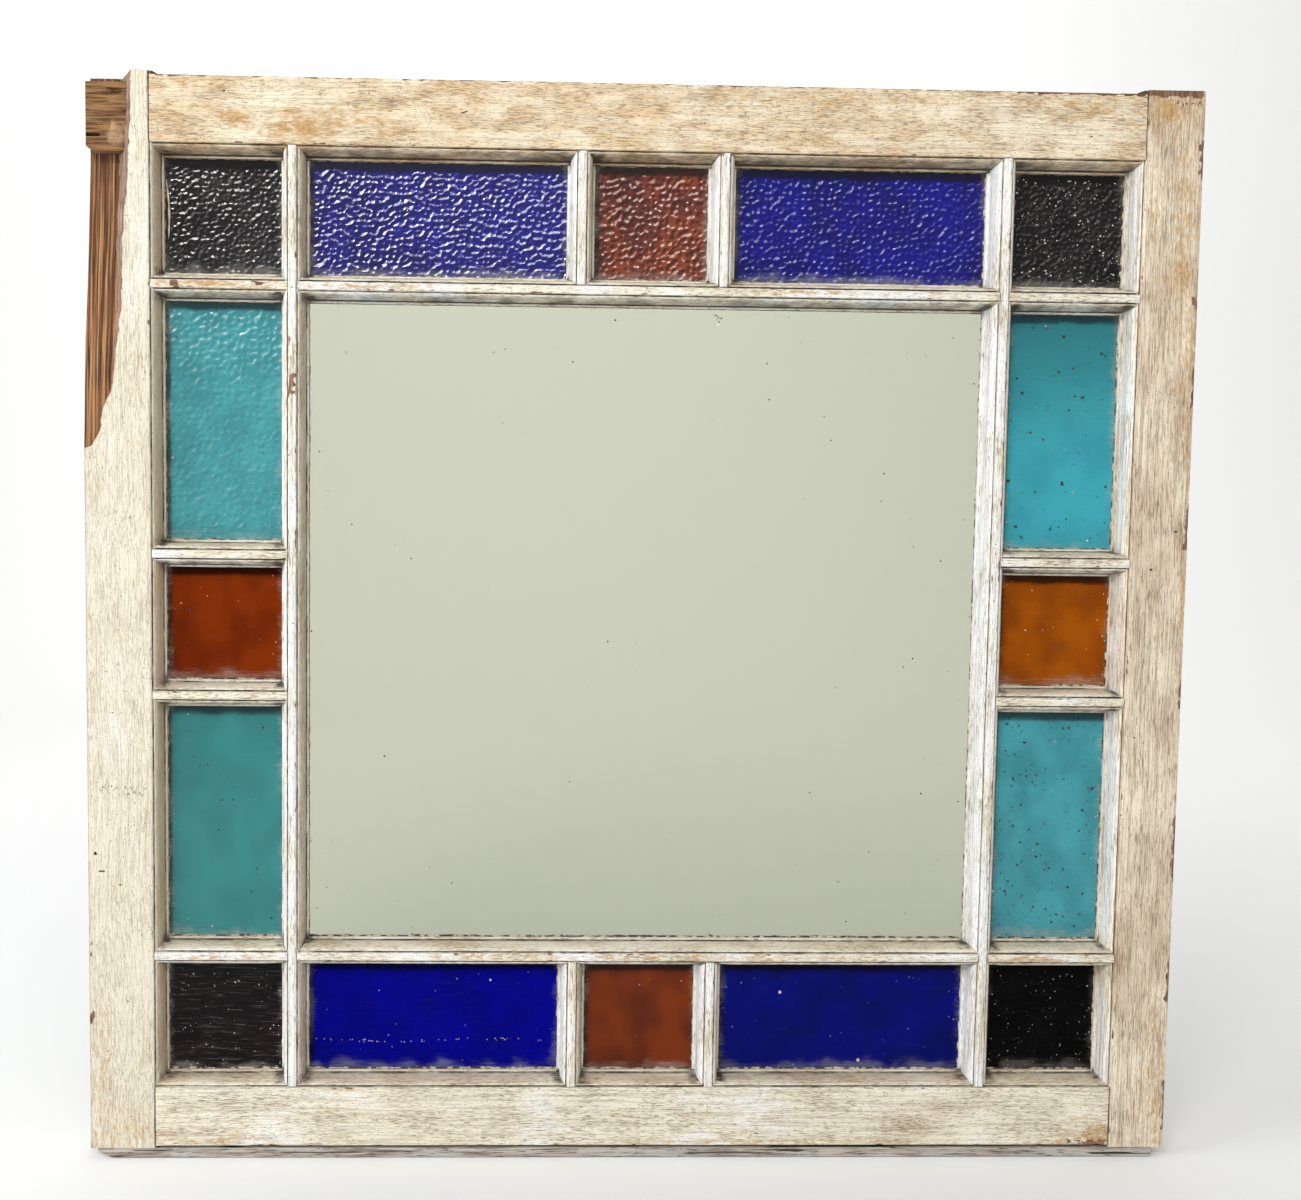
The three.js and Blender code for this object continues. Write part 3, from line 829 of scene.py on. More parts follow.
def cutMortises(stile, lowX, highX):
    gap = tenon["clearance"]
    rabbet = frontFace + moulding["glassDepth"] + gap
    front, back = frontFace + tenon["front"] - gap, frontFace + tenon["front"] + tenon["thickness"] + gap
    for arris, outer, inwards in [(upperArris, topRailHigh[2], -1), (lowerArris, bottomRailLow[2], 1)]:
        shoulder, inner, step = tenonHeights(arris, outer, inwards, gap)
        for height, ahead, behind in [(inner, front, rabbet), (step, rabbet - 0.01, back)]:
            low, high = sorted((shoulder, height))
            combine(stile, block((lowX, ahead, low), (highX, behind, high)), "DIFFERENCE")


def addTenon(rail, arris, outer, inwards, lowX, highX, relief, seed):
    # a through tenon as a fine grid, so that its bared face can carry grain and splits
    shoulder, inner, step = tenonHeights(arris, outer, inwards, 0)
    front, rabbet, back = tenon["front"], moulding["glassDepth"], tenon["front"] + tenon["thickness"]
    face = [(z, front) for z in np.linspace(shoulder, inner, 58)]
    outline = face + [(inner, (front + rabbet) / 2), (inner, rabbet), (step, rabbet)]
    outline += [(step, (rabbet + back) / 2), (step, back)]
    outline += [(z, back) for z in np.linspace(step, shoulder, 12)[1:]]
    outline += [(shoulder, d) for d in np.linspace(back, front, 8)[1:-1]]
    outline = np.array(outline)
    stations = np.linspace(lowX, highX, max(6, int((highX - lowX) / tenon["station"])))
    x, depth, z, normal = levelGrid(outline, stations)
    grain = layeredNoise(x / 20, z / 1.5, depth / 1.5, seed, 3)
    slow = smoothNoise(x / 30, z / 9, depth / 9, seed + 1)
    loss = 0.05 + 0.22 * (0.5 + 0.5 * grain) + 0.2 * (0.5 + 0.5 * slow)
    z, depth = z - normal[..., 0] * loss, depth - normal[..., 1] * loss
    if relief:
        z, depth = relief(x, z, depth, outline[None])
    combine(rail, sweptPiece("tenon", x, depth, z, [outline], []), "UNION")


# The bared tenon at the split head: a notch, splits along its grain and a broken lower corner
baredTenon = {
    "notchHeight": 743.0, "notchEnd": 10.0, "notchDepth": 5.0, "notchHalf": 0.9,
    "splits": [(771.5, 13, 24, 2.2, 0.10), (775.0, 17, 25, 2.6, -0.05), (766.5, 2, 16, 1.0, 0.02)],
    "splitHalf": 0.75,
    "cornerCut": 5.0,
}


def bareTenonRelief(x, z, depth, outline):
    b = baredTenon
    out = x - outerSide
    isFace = (outline[..., 1] < tenon["front"] + 0.01)
    uneven = 0.2 * smoothNoise(x / 3, 0, 0, 5)
    notch = smoothStep(b["notchHalf"] - np.abs(z - b["notchHeight"] - uneven), 0, 0.35)
    notch = notch * smoothStep(b["notchEnd"] - out, 0, 1.2)
    depth = depth + isFace * notch * b["notchDepth"]
    for height, start, stop, deep, slope in b["splits"]:
        middle = height + slope * (out - start)
        half = b["splitHalf"] * smoothStep(out, start - 2, start + 3) * smoothStep(stop + 2 - out, 0, 4)
        depth = depth + isFace * deep * smoothStep(half - np.abs(z - middle), -0.25, 0.25) * (half > 0.02)
    # broken lower corner at the outer end
    low = upperArris - tenon["innerReach"]
    lift = np.maximum(0, b["cornerCut"] - out - 0.8 * (z - low)) * (z < low + 8)
    return z + lift * 0.7 * smoothStep(low + 7 - z, 0, 6), depth


for rail, arris, outer, inwards in [(topRail, upperArris, topRailHigh[2], -1),
                                    (bottomRail, lowerArris, bottomRailLow[2], 1)]:
    bared = bareTenonRelief if rail is topRail else None
    addTenon(rail, arris, outer, inwards, outerSide + 0.05, leftArris + tenon["root"], bared, 41)
    addTenon(rail, arris, outer, inwards, rightArris - tenon["root"], rightStileHigh[0] - 0.05, None, 43)
cutMortises(leftStile, outerSide - 5, leftArris + 12)
cutMortises(rightStile, rightArris - 12, rightStileHigh[0] + 5)

# Marks of use, in millimetres: on the left stile nail holes, a slot and a worn patch of strokes, and a crack
stileMarks = [roundHole(*hole) for hole in [
    (-395.0, 227.5, 1.5, 4.0, 1), (-390.3, 214.6, 0.8, 2.2, 2, 3.2), (-377.0, 204.7, 0.7, 1.8, 3, 1.6),
    (-381.5, 331.0, 0.55, 1.2, 4), (-368.0, 472.0, 0.5, 1.2, 5), (-372.0, 118.0, 0.55, 1.2, 6, 1.5)]]
strokeRow = {"count": 30, "start": (-390.5, 274), "pitch": 1.12}
for i in range(strokeRow["count"]):
    turn = [float(latticeValue(np.int64(i), np.int64(k), np.int64(1), 91)) for k in range(5)]
    stileMarks.append(stroke(strokeRow["start"][0] + i * strokeRow["pitch"], strokeRow["start"][1] + 3.6 * turn[0],
                             2.2 + 0.9 * turn[1], 0.62 + 0.2 * turn[2],
                             1.2 * (1 if i % 2 else -1) + 0.5 * turn[3], 0.9 + 0.3 * turn[4]))
stileMarks += [stroke(-367.2 + 1.62 * i, 748.6 - 1.28 * i, 1.5, 0.42, -0.67, 1.0) for i in range(6)]
topMarks = [stroke(-163.5 + 1.9 * i, 763.5 - 3.0 * i, 3.4, 0.35, -1.0, 0.8) for i in range(6)]
topMarks += [stroke(-131.0, 760.5, 7.0, 1.2, 0.3, 1.0)]
topMarks += [roundHole(*hole) for hole in [(318.0, 752.0, 0.6, 1.2, 31, 2.0), (-300.0, 772.0, 0.6, 1.2, 32, 1.5),
                                           (118.0, 744.0, 0.5, 1.0, 33)]]
rightMarks = [roundHole(*hole) for hole in [(373.5, 442.0, 0.8, 1.6, 8, 1.8), (366.0, 318.0, 0.6, 1.4, 9, 1.5),
                                            (386.0, 560.0, 0.6, 1.3, 10), (391.0, 470.0, 0.7, 1.6, 12, 2.4)]]
for piece, marks in [(leftStile, stileMarks), (topRail, topMarks), (rightStile, rightMarks)]:
    cutMarks(piece, marks)
jointLines, rightJoints = [[("x", arris, upperArris, 999), ("x", arris, -9, lowerArris)]
                           for arris in (leftArris, rightArris)]


def soundWood(x, z):
    # 1 on the painted face of the left stile, 0 in the break
    return (x - outerSide > breakAt(z)[0] + 1.0) | (z < 519)


def inBreak(x, depth, z):
    edge, deep = breakAt(z)
    return (z > 520) & (x - outerSide < edge + 0.15) & (depth < deep + 1.4) & (depth > 0.12)


def onSlant(x, depth, z):
    edge, deep = breakAt(z)
    return x - outerSide > edge - headBreak["lean"] * deep


# Stains as middle, half sizes and strength; bared patches as left, right, low, high and strength
leftStains = [(-370, 20, 40, 22, 0.35), (-392, 60, 8, 90, 0.25)]
leftBared = [(-400, -396.5, 100, 112, 0.8), (-400, -397, 150, 163, 0.7)]
rightStains = [(388, 655, 11, 120, 0.52), (384, 690, 4, 60, 0.5), (376, 770, 26, 20, 0.7), (366, 700, 10, 50, 0.3),
               (398, 500, 3.5, 250, 0.6), (392, 60, 14, 70, 0.4)]
rightBared = [(352, 398, 780.5, 790, 0.95), (374, 399, 773, 779, 0.5), (396.5, 402, 723, 751, 1.0),
              (395, 402, 632, 639, 1.0), (397, 402, 560, 590, 0.8), (397, 402, 455, 490, 0.9),
              (397.3, 402, 330, 360, 0.8), (397, 402, 210, 262, 0.9), (396.6, 402, 118, 150, 0.9),
              (397.4, 402, 20, 60, 0.8)]
topStains = [(-254, 748, 30, 7.5, 1.0), (-285, 753, 36, 8, 0.62), (-212, 754, 32, 11, 0.55),
             (-180, 744, 24, 6, 0.4), (-262, 757, 14, 5, 0.6), (150, 776, 120, 6, 0.4), (320, 772, 40, 10, 0.6),
             (-330, 778, 30, 5, 0.4)]
topBared = [(262, 356, 780.6, 790, 1.0), (-345, 262, 781.6, 790, 0.62), (-349, -322, 781.6, 790, 0.8),
            (-180, -150, 782, 790, 0.7), (60, 96, 782, 790, 0.8)]
bottomStains = [(343, 17, 22, 11, 0.9), (318, 10, 30, 4, 0.5), (-300, 14, 60, 5, 0.4), (100, 12, 120, 4, 0.4)]
weatherAndShade(leftStile, jointLines, 0.27, 0.10, leftStains, leftBared, soundWood)
bareFaces(leftStile, inBreak, onSlant)
weatherAndShade(rightStile, rightJoints, 0.62, 0.24, rightStains, rightBared, None, 0.07, 0.09)
weatherAndShade(topRail, jointLines + rightJoints, 0.64, 0.26, topStains, topBared)
weatherAndShade(bottomRail, jointLines + rightJoints, 0.31, 0.20, bottomStains, [(326, 357, 7, 14, 0.55)])

# pale splinters on the bared tenon
x, y, z = meshPoints(topRail.data).T
splinters = near(np.hypot((x + 380) / 8, (z - 744) / 10), 1.0) * (0.7 + 0.6 * layeredNoise(x / 3, z / 5, 0, 19, 3))
setAttribute(topRail.data, "tone", np.where(x < leftArris - 1, splinters, attributeValues(topRail.data, "tone")))
bareFaces(topRail, lambda x, depth, z: x < leftArris - 0.4)
print("rails and joints", len(topRail.data.polygons), len(bottomRail.data.polygons))

barPaint = {
    "upright": paintMaterial("uprightBarPaint", "z", 15.0, {"mottle": 0.8, "dashLength": 7.0}),
    "level": paintMaterial("levelBarPaint", "x", 18.0, {"mottle": 0.9, "dashLength": 5.0, "ridges": 0.34}),
}
barTone = {"upright": 0.10, "level": 0.20}
barMarks = {
    "left_upright_bar": [(-252.4, 636.5, 0.6, 1.5, 21), (-252.0, 631.5, 0.5, 1.2, 22),
                         (-250.6, 567.5, 1.1, 0.9, 23, 0.9)],
    "right_upright_bar": [(258.4, 452.5, 0.65, 1.5, 24, 1.0), (258.2, 459.5, 0.6, 1.5, 25),
                          (258.2, 418.0, 0.6, 1.5, 26)],
}
barWear = {
    "left_side_bar_4": [(-338.5, -332.5, 634, 640.5, 0.95), (-280.5, -272.5, 635.5, 640.5, 0.9),
                        (-327, -323, 634, 637, 0.6)],
    "left_upright_bar": [(-256, -250, 560, 575, 0.8)],
}
barStains = {
    "lower_cross_bar": [(0, 152, 260, 5, 0.35)],
    "left_side_bar_4": [(-318, 638, 34, 4, 0.8), (-276, 638, 12, 4, 0.6)],
    "upper_cross_bar": [(-200, 638, 60, 3, 0.5), (120, 639, 90, 3, 0.4)],
    "right_side_bar_1": [(300, 151, 40, 4, 0.6)],
    "left_side_bar_1": [(-300, 151, 40, 4, 0.5)],
}


def makeBar(node, seed):
    upright = "upright" in node or "short" in node
    axis, along, across, kind = ("z", 2, 0, "upright") if upright else ("x", 0, 2, "level")
    low, high = boxMm(node)
    centre = (low[across] + high[across]) / 2
    outline = memberOutline(centre - barHalf, centre + barHalf, mouldedEdge(), mouldedEdge(), 0.9)
    reach = copeReach(outline[:, 1])
    start, end = low[along] - moulding["jointGap"], high[along] + moulding["jointGap"]
    bar = sweepMember(pieceName(node), outline, stationsBetween(start, end, 3.0), upright, start + reach,
                      end - reach, [(centre - barHalf, 0.0), (centre + barHalf, 0.0)], seed, [barPaint[kind]])
    if node in barMarks:
        cutMarks(bar, [roundHole(*hole) for hole in barMarks[node]])
    weatherAndShade(bar, [(axis, start, -999, 999), (axis, end, -999, 999)], barTone[kind], 0.14,
            barStains.get(node, ()), barWear.get(node, ()))
    return bar


barNodes = [n for n in nodeNames if n.endswith("_bar") or "_bar_" in n]
bars = {node: makeBar(node, 50 + number * 3) for number, node in enumerate(barNodes)}
print("bars", sum(len(b.data.polygons) for b in bars.values()))

packingStrip = {
    "chipLength": 10.0,
    "chipHeight": 5.0,
    "grain": 0.3,
    "across": 0.6,      # share of the loss on the upper and lower faces
    "worn": 0.3,        # inset of the corners
}
greyPine = timberMaterial("greyPine", "x", 21.0, {
    "light": (0.52, 0.47, 0.40), "dark": (0.24, 0.20, 0.16), "grey": (0.50, 0.48, 0.45), "greyShare": 0.7,
    "width": 1.1, "length": 45.0})


def makePackingStrip():
    low, high = boxMm("packing_strip")
    front, back, top = low[1] - frontFace, high[1] - frontFace, high[2]
    worn = packingStrip["worn"]
    outline = [(z, front) for z in np.linspace(worn, top - worn, 9)]
    outline += [(top, d) for d in np.linspace(front + worn, back - worn, 14)]
    outline += [(z, back) for z in np.linspace(top - worn, worn, 5)]
    outline += [(0.0, d) for d in np.linspace(back - worn, front + worn, 14)]
    outline = np.array(outline)
    stations = stationsBetween(low[0], high[0], 3.0, [(low[0], low[0] + 20, 0.8)])
    x, depth, z, normal = levelGrid(outline, stations)
    grain = layeredNoise(x / 34, z / 1.1, depth / 1.6, 71, 3)
    split = smoothStep(layeredNoise(x / 60, z / 0.9, depth / 4, 73, 2), 0.35, 0.6)
    ragged = smoothStep(layeredNoise(x / 7, z / 9, depth / 9, 75, 2), 0.25, 0.6)
    corner = np.minimum(z, top - z) < 1.2
    loss = 0.05 + packingStrip["grain"] * (0.5 + 0.5 * grain) + 0.5 * split + 0.6 * ragged * corner
    z, depth = z - normal[..., 0] * loss * packingStrip["across"], depth - normal[..., 1] * loss
    # the left end is chipped away from below
    out, reach = x - low[0], packingStrip["chipLength"]
    lift = packingStrip["chipHeight"] * np.clip(1 - out / reach, 0, 1) + 0.25 * smoothNoise(x / 1.5, 0, 0, 77)
    z = np.where(out < reach, np.maximum(z, lift + 0.08 * z), z)
    z = np.clip(z, 0.0, top)
    piece = sweptPiece("packingStrip", x, depth, z, [outline], [greyPine])
    # dark splits, and a painted shadow along the top where the strip meets the sash
    setAttribute(piece.data, "dirt", 0.9 * split.ravel() + 0.25 * (z.ravel() > top - 0.5))
    return piece


strip = makePackingStrip()
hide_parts("packing_strip")
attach(strip, "root")

# Glass, in linear colours: relief is the depth of the hammering in mm and pitch the distance of its hollows,
# wave the slow unevenness of old rolled glass, step the size of the grid; colour and deep are its two tones,
# through the share of the light let through clear and dust the haze along the edges
paneGlass = {
    "corner": {"colour": (0.030, 0.026, 0.027), "deep": (0.014, 0.010, 0.012), "relief": 0.50,
               "roughness": 0.12, "ior": 1.5, "dust": 0.30, "slot": "smoke_glass"},
    "blue": {"colour": (0.012, 0.011, 0.28), "deep": (0.006, 0.006, 0.18), "relief": 0.80,
             "roughness": 0.07, "ior": 1.5, "dust": 0.35, "slot": "blue_glass"},
    "red": {"colour": (0.30, 0.060, 0.022), "deep": (0.14, 0.032, 0.022), "relief": 0.70,
            "roughness": 0.11, "ior": 1.42, "dust": 0.40, "slot": "red_glass"},
    "amber": {"colour": (0.26, 0.050, 0.004), "deep": (0.15, 0.022, 0.003), "relief": 0.14, "cloud": 0.7,
              "roughness": 0.14, "ior": 1.18, "dust": 0.35, "slot": "amber_glass"},
    "teal": {"colour": (0.048, 0.42, 0.48), "deep": (0.030, 0.27, 0.34), "relief": 0.30, "step": 1.9,
             "cloud": 0.6, "through": 0.60, "roughness": 0.10, "ior": 1.32, "dust": 0.40, "slot": "teal_glass"},
    "clear": {"colour": (0.575, 0.595, 0.48), "relief": 0.0, "wave": 0.16, "step": 8.0, "ior": 1.32,
              "slot": "clear_glass"},
}
# spark: colour of the painted highlights on hammered slopes facing the light, sparkAt where they begin; hollow:
# strength of the painted shade on slopes facing away
plainPane = {"wave": 0.10, "through": 0.55, "pitch": 5.2, "cloud": 1.0, "hollow": 0.0, "streaks": 0.06,
             "fineStep": 0.97, "plainStep": 1.5, "backStep": 6.0}
paneChanges = {
    "top_left_corner": {"colour": (0.034, 0.030, 0.031), "deep": (0.014, 0.011, 0.012), "relief": 0.42, "step": 0.9,
                        "roughness": 0.10, "ior": 1.38, "pitch": 3.7, "spark": (0.46, 0.45, 0.46),
                        "sparkAt": 0.96, "hollow": 0.7},
    "top_right_corner": {"colour": (0.020, 0.016, 0.017), "deep": (0.006, 0.004, 0.005), "relief": 0.60,
                         "ior": 1.32, "pitch": 3.9, "spark": (0.34, 0.32, 0.32), "sparkAt": 0.93, "hollow": 0.7},
    "bottom_left_corner": {"colour": (0.010, 0.0035, 0.005), "deep": (0.003, 0.001, 0.002), "relief": 0.25,
                           "ior": 1.22, "streaks": 0.5, "dust": 0.42},
    "bottom_right_corner": {"colour": (0.003, 0.0025, 0.003), "deep": (0.001, 0.001, 0.001), "relief": 0.2,
                            "ior": 1.12, "dust": 0.22, "streaks": 0.12},
    "top_right_blue": {"colour": (0.006, 0.006, 0.29), "deep": (0.004, 0.004, 0.17), "relief": 0.70,
                       "roughness": 0.10, "ior": 1.36, "spark": (0.24, 0.25, 0.54), "sparkAt": 0.84, "hollow": 0.6,
                       "pitch": 4.5, "step": 0.95},
    "top_left_blue": {"spark": (0.86, 0.86, 0.92), "sparkAt": 0.82, "hollow": 0.85, "pitch": 4.3, "step": 0.92,
                      "relief": 0.70},
    "top_red": {"spark": (0.78, 0.48, 0.40), "sparkAt": 0.80, "hollow": 0.9, "pitch": 4.8},
    "bottom_left_blue": {"colour": (0.0010, 0.0014, 0.32), "deep": (0.001, 0.0012, 0.24), "relief": 0.16,
                         "ior": 1.10, "dust": 0.30, "streaks": 0.04},
    "bottom_right_blue": {"colour": (0.0016, 0.005, 0.22), "deep": (0.0012, 0.004, 0.14), "relief": 0.2,
                          "ior": 1.14, "dust": 0.30, "streaks": 0.03},
    "bottom_red": {"colour": (0.27, 0.043, 0.006), "deep": (0.15, 0.024, 0.005), "relief": 0.25, "ior": 1.2},
    "left_amber": {"colour": (0.26, 0.034, 0.0014), "deep": (0.14, 0.015, 0.001), "ior": 1.12},
    "right_amber": {"colour": (0.43, 0.105, 0.002), "deep": (0.24, 0.050, 0.002), "ior": 1.14},
    "left_upper_teal": {"colour": (0.075, 0.40, 0.43), "deep": (0.045, 0.27, 0.31), "ior": 1.45, "step": 1.1,
                        "relief": 0.34, "spark": (0.55, 0.78, 0.80), "sparkAt": 0.90, "hollow": 0.25},
    "right_upper_teal": {"colour": (0.058, 0.47, 0.55), "deep": (0.036, 0.33, 0.42), "head": (0.030, 0.24, 0.27),
                         "cloud": 0.5},
    "left_lower_teal": {"colour": (0.045, 0.29, 0.29), "deep": (0.032, 0.21, 0.215)},
    "right_lower_teal": {"cloud": 0.7, "colour": (0.076, 0.42, 0.48), "deep": (0.046, 0.28, 0.33)},
}


def glassMaterial(name, look, shift):
    material, tree, shader = newMaterial(name)
    shader.inputs["IOR"].default_value = look["ior"]
    if "deep" not in look:
        # the clear pane: plain see-through glass, only its surface is uneven
        shader.inputs["Base Color"].default_value = (*look["colour"], 1)
        shader.inputs["Roughness"].default_value = 0.03
        shader.inputs["Transmission Weight"].default_value = 1.0
        addBump(tree, shader, grainNoise(tree, "z", 30, 22, 2, 0, shift), 0.15, 0.3)
        return material
    hollowShadeColour, mouldingShadowColour = [[v * share for v in look["deep"]] for share in (0.25, 0.08)]
    slow = grainNoise(tree, "z", 34, 26, 3, 0, shift)
    colour = blend(tree, rise(tree, slow, 0.36, 0.66, look["cloud"]), look["colour"], look["deep"])
    if "head" in look:
        colour = blend(tree, rise(tree, mask(tree, "height"), 0.30, 1.0), colour, look["head"])
    # painted shade on the hammered slopes that face away from the light, and painted highlights on those that face up
    # and to the left
    glint = mask(tree, "glint")
    hollow = rise(tree, calc(tree, "SUBTRACT", 1.0, glint), 0.54, 0.86, look["hollow"])
    colour = blend(tree, hollow, colour, hollowShadeColour)
    if "spark" in look:
        colour = blend(tree, rise(tree, glint, 0.60, 0.90, 0.22), colour, look["spark"])
        colour = blend(tree, rise(tree, glint, look["sparkAt"], look["sparkAt"] + 0.12, 0.9), colour, look["spark"])
    # painted shadow of the moulding along the head and the left side of the pane
    colour = blend(tree, mask(tree, "shade"), colour, mouldingShadowColour)
    # a film of dirt from the edges, and streaks across
    streaks = grainNoise(tree, "x", 16, 0.9, 3, 3.0, shift + 2)
    film = rise(tree, varied(tree, mask(tree, "haze"), streaks, 0.9), 0.24, 0.95, look["dust"])
    thin = rise(tree, streaks, 0.54, 0.74, look["dust"] * look["streaks"])
    film = calc(tree, "MAXIMUM", film, thin)
    colour = blend(tree, film, colour, (0.50, 0.47, 0.41))
    joinLook(tree, shader, colour, more(tree, look["roughness"], film, 0.5))
    tree.links.new(calc(tree, "MULTIPLY", calc(tree, "SUBTRACT", 1.0, film), look["through"]),
                   shader.inputs["Transmission Weight"])
    addBump(tree, shader, grainNoise(tree, "x", 1.8, 1.3, 2, 0, shift + 5), 0.25, 0.2)
    return material


def hammeredDepth(x, z, seed, pitch):
    # 0 on the ridges and 1 in the middle of each struck hollow
    u = x / pitch + 0.35 * smoothNoise(x / 9, z / 9, 0, seed)
    v = z / (pitch * 0.86) + 0.35 * smoothNoise(x / 9, z / 9, 7, seed + 1)
    cu, cv = np.floor(u).astype(np.int64), np.floor(v).astype(np.int64)
    nearest = np.full(x.shape, 9.0)
    for du in (-1, 0, 1):
        for dv in (-1, 0, 1):
            pu = cu + du + 0.5 + 0.36 * latticeValue(cu + du, cv + dv, cu * 0, seed + 2)
            pv = cv + dv + 0.5 + 0.36 * latticeValue(cu + du, cv + dv, cu * 0, seed + 3)
            nearest = np.minimum(nearest, (u - pu) ** 2 + (v - pv) ** 2)
    hollow = 1 - smoothStep(np.sqrt(nearest), 0.0, 0.85)
    return np.clip(0.85 * hollow + 0.25 * smoothNoise(x / 2.1, z / 2.1, 3, seed + 4), 0, 1.1)


def gridRim(rows, columns, start=0):
    # the four sides of a grid of points, in order round it
    last = start + (rows - 1) * columns
    return [[start + c for c in range(columns)], [start + r * columns + columns - 1 for r in range(rows)],
            [last + c for c in reversed(range(columns))], [start + r * columns for r in reversed(range(rows))]]


# Along the visible edges of a pane, in mm: reach of the haze and how much of it, and of the painted shadow under the
# moulding, which falls from the head and from the left
paneEdge = {
    "hazeReach": (5.0, 5.0, 7.5, 3.0), "haze": (0.75, 0.75, 1.0, 0.35),     # left, right, foot, head
    "headShade": 6.2, "leftShade": 3.0, "ragged": 0.22, "shade": 0.95,
}


def paneSides(low, high, x, z):
    # distance inside the visible edges of a pane: left, right, foot and head
    reach = width - 1
    return x - low[0] - reach, high[0] - reach - x, z - low[2] - reach, high[2] - reach - z


def makePane(node, seed):
    low, high = boxMm(node)
    glass = {**plainPane, **paneGlass[node.split("_")[-1]], **paneChanges.get(node[5:], {})}
    e, relief = paneEdge, glass["relief"]
    step = glass.get("step", glass["fineStep"] if relief > 0.3 else glass["plainStep"])
    xs, zs = [np.linspace(low[k], high[k], int((high[k] - low[k]) / step) + 2) for k in (0, 2)]
    x, z = np.meshgrid(xs, zs)
    depth = np.zeros(x.shape)
    if relief:
        strength = relief
        if "upper_teal" in node:
            strength = strength * (0.7 + 0.9 * smoothStep(z, high[2] - 75, high[2] - 20))   # deeper by the head
        depth = strength * hammeredDepth(x, z, seed, glass["pitch"])
    # smooth where the moulding lies over it
    left, right, foot, head = paneSides(low, high, x, z)
    under = np.minimum(head / e["headShade"], left / e["leftShade"])
    depth = depth * smoothStep(under + e["ragged"] * layeredNoise(x / 12, z / 12, 0, seed + 3, 3), 0.55, 1.15)
    depth = depth + glass["wave"] * (0.5 + 0.5 * layeredNoise(x / 60, z / 60, 0, seed + 8, 2)) + 0.01
    backXs, backZs = [np.linspace(low[k], high[k], max(2, int((high[k] - low[k]) / glass["backStep"])))
                      for k in (0, 2)]
    backX, backZ = np.meshgrid(backXs, backZs)
    ripple = 0.08 * (0.5 + 0.5 * layeredNoise(backX / 70, backZ / 70, 0, seed + 21, 2))
    front = np.stack([x, low[1] + depth, z], -1).reshape(-1, 3)
    back = np.stack([backX, high[1] - ripple, backZ], -1).reshape(-1, 3)
    points = np.concatenate([front, back])
    faces = gridFaces(*x.shape, closed=False)
    faces += [f[::-1] for f in gridFaces(*backX.shape, closed=False, start=len(front))]
    # edges of the pane: one many-cornered face on each side
    faces += [tuple(f + b[::-1]) for f, b in zip(gridRim(*x.shape), gridRim(*backX.shape, start=len(front)))]
    name = pieceName(node)
    pane = closedPiece(name, points, faces, [glassMaterial(name + "Glass", glass, seed * 0.1)], 60)
    # haze along the visible edges, most at the foot; painted shadow of the moulding along the head and the left side
    x, z = points[:, 0], points[:, 2]
    sides = [np.maximum(d, 0) for d in paneSides(low, high, x, z)]
    uneven = layeredNoise(x / 12, z / 12, 0, seed + 3, 3)
    haze = np.maximum.reduce([near(d, size * (1 + 0.5 * uneven)) * amount
                              for d, size, amount in zip(sides, e["hazeReach"], e["haze"])])
    edge = np.minimum(sides[3] / e["headShade"], sides[0] / e["leftShade"])
    shade = e["shade"] * (1 - smoothStep(edge + e["ragged"] * uneven, 0.75, 1.15))
    # which way the hammered slopes look, towards the light at the upper left or away from it, for the painted
    # highlights and shade
    slopeZ, slopeX = np.gradient(depth, zs, xs)
    glint = np.full(len(points), 0.5)
    glint[:len(front)] = (0.5 + 2.9 * (0.5 * slopeZ - 0.36 * slopeX) / max(relief, 0.3)).ravel()
    for key, values in [("haze", haze * (0.7 + 0.5 * uneven)), ("glint", glint),
                        ("height", (z - low[2]) / (high[2] - low[2])), ("shade", shade)]:
        setAttribute(pane.data, key, values)
    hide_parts(node)
    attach(pane, "root")
    return pane


paneNodes = [n for n in nodeNames if n.startswith("pane_")]
panes = {node: makePane(node, 200 + 30 * number) for number, node in enumerate(paneNodes)}
print("panes", sum(len(p.data.polygons) for p in panes.values()))

puttyRun = {
    "step": 5.0,       # between the strokes of the knife
    "waver": 0.5,      # unevenness of the sloping face
    "crackPitch": 28.0, "crackDepth": 0.5, "crackWidth": 0.06,
    # section as inset from the edge of the rabbet and depth behind the pane
    "section": [(0.0, 0.0), (0.0, 3.5), (0.0, 7.0), (0.0, 10.0), (0.25, 10.45), (0.9, 9.4), (1.9, 7.6),
                (2.9, 5.75), (3.9, 3.95), (4.9, 2.15), (5.6, 0.9), (5.95, 0.25), (5.9, 0.0), (3.0, 0.0)],
}
oldPutty = lumpyMaterial("oldPutty", (0.66, 0.61, 0.50), (0.46, 0.42, 0.35), (26, 18, 4, 0, 31), (0.36, 0.64),
                         (0.2, 0.8, 0.95), {"lumps": (2.4, 2.0, 3, 0, 33), "turn": (0.58, 0.68, 0.7),
                                            "colour": (0.14, 0.11, 0.08), "bump": (0.7, 0.4)})


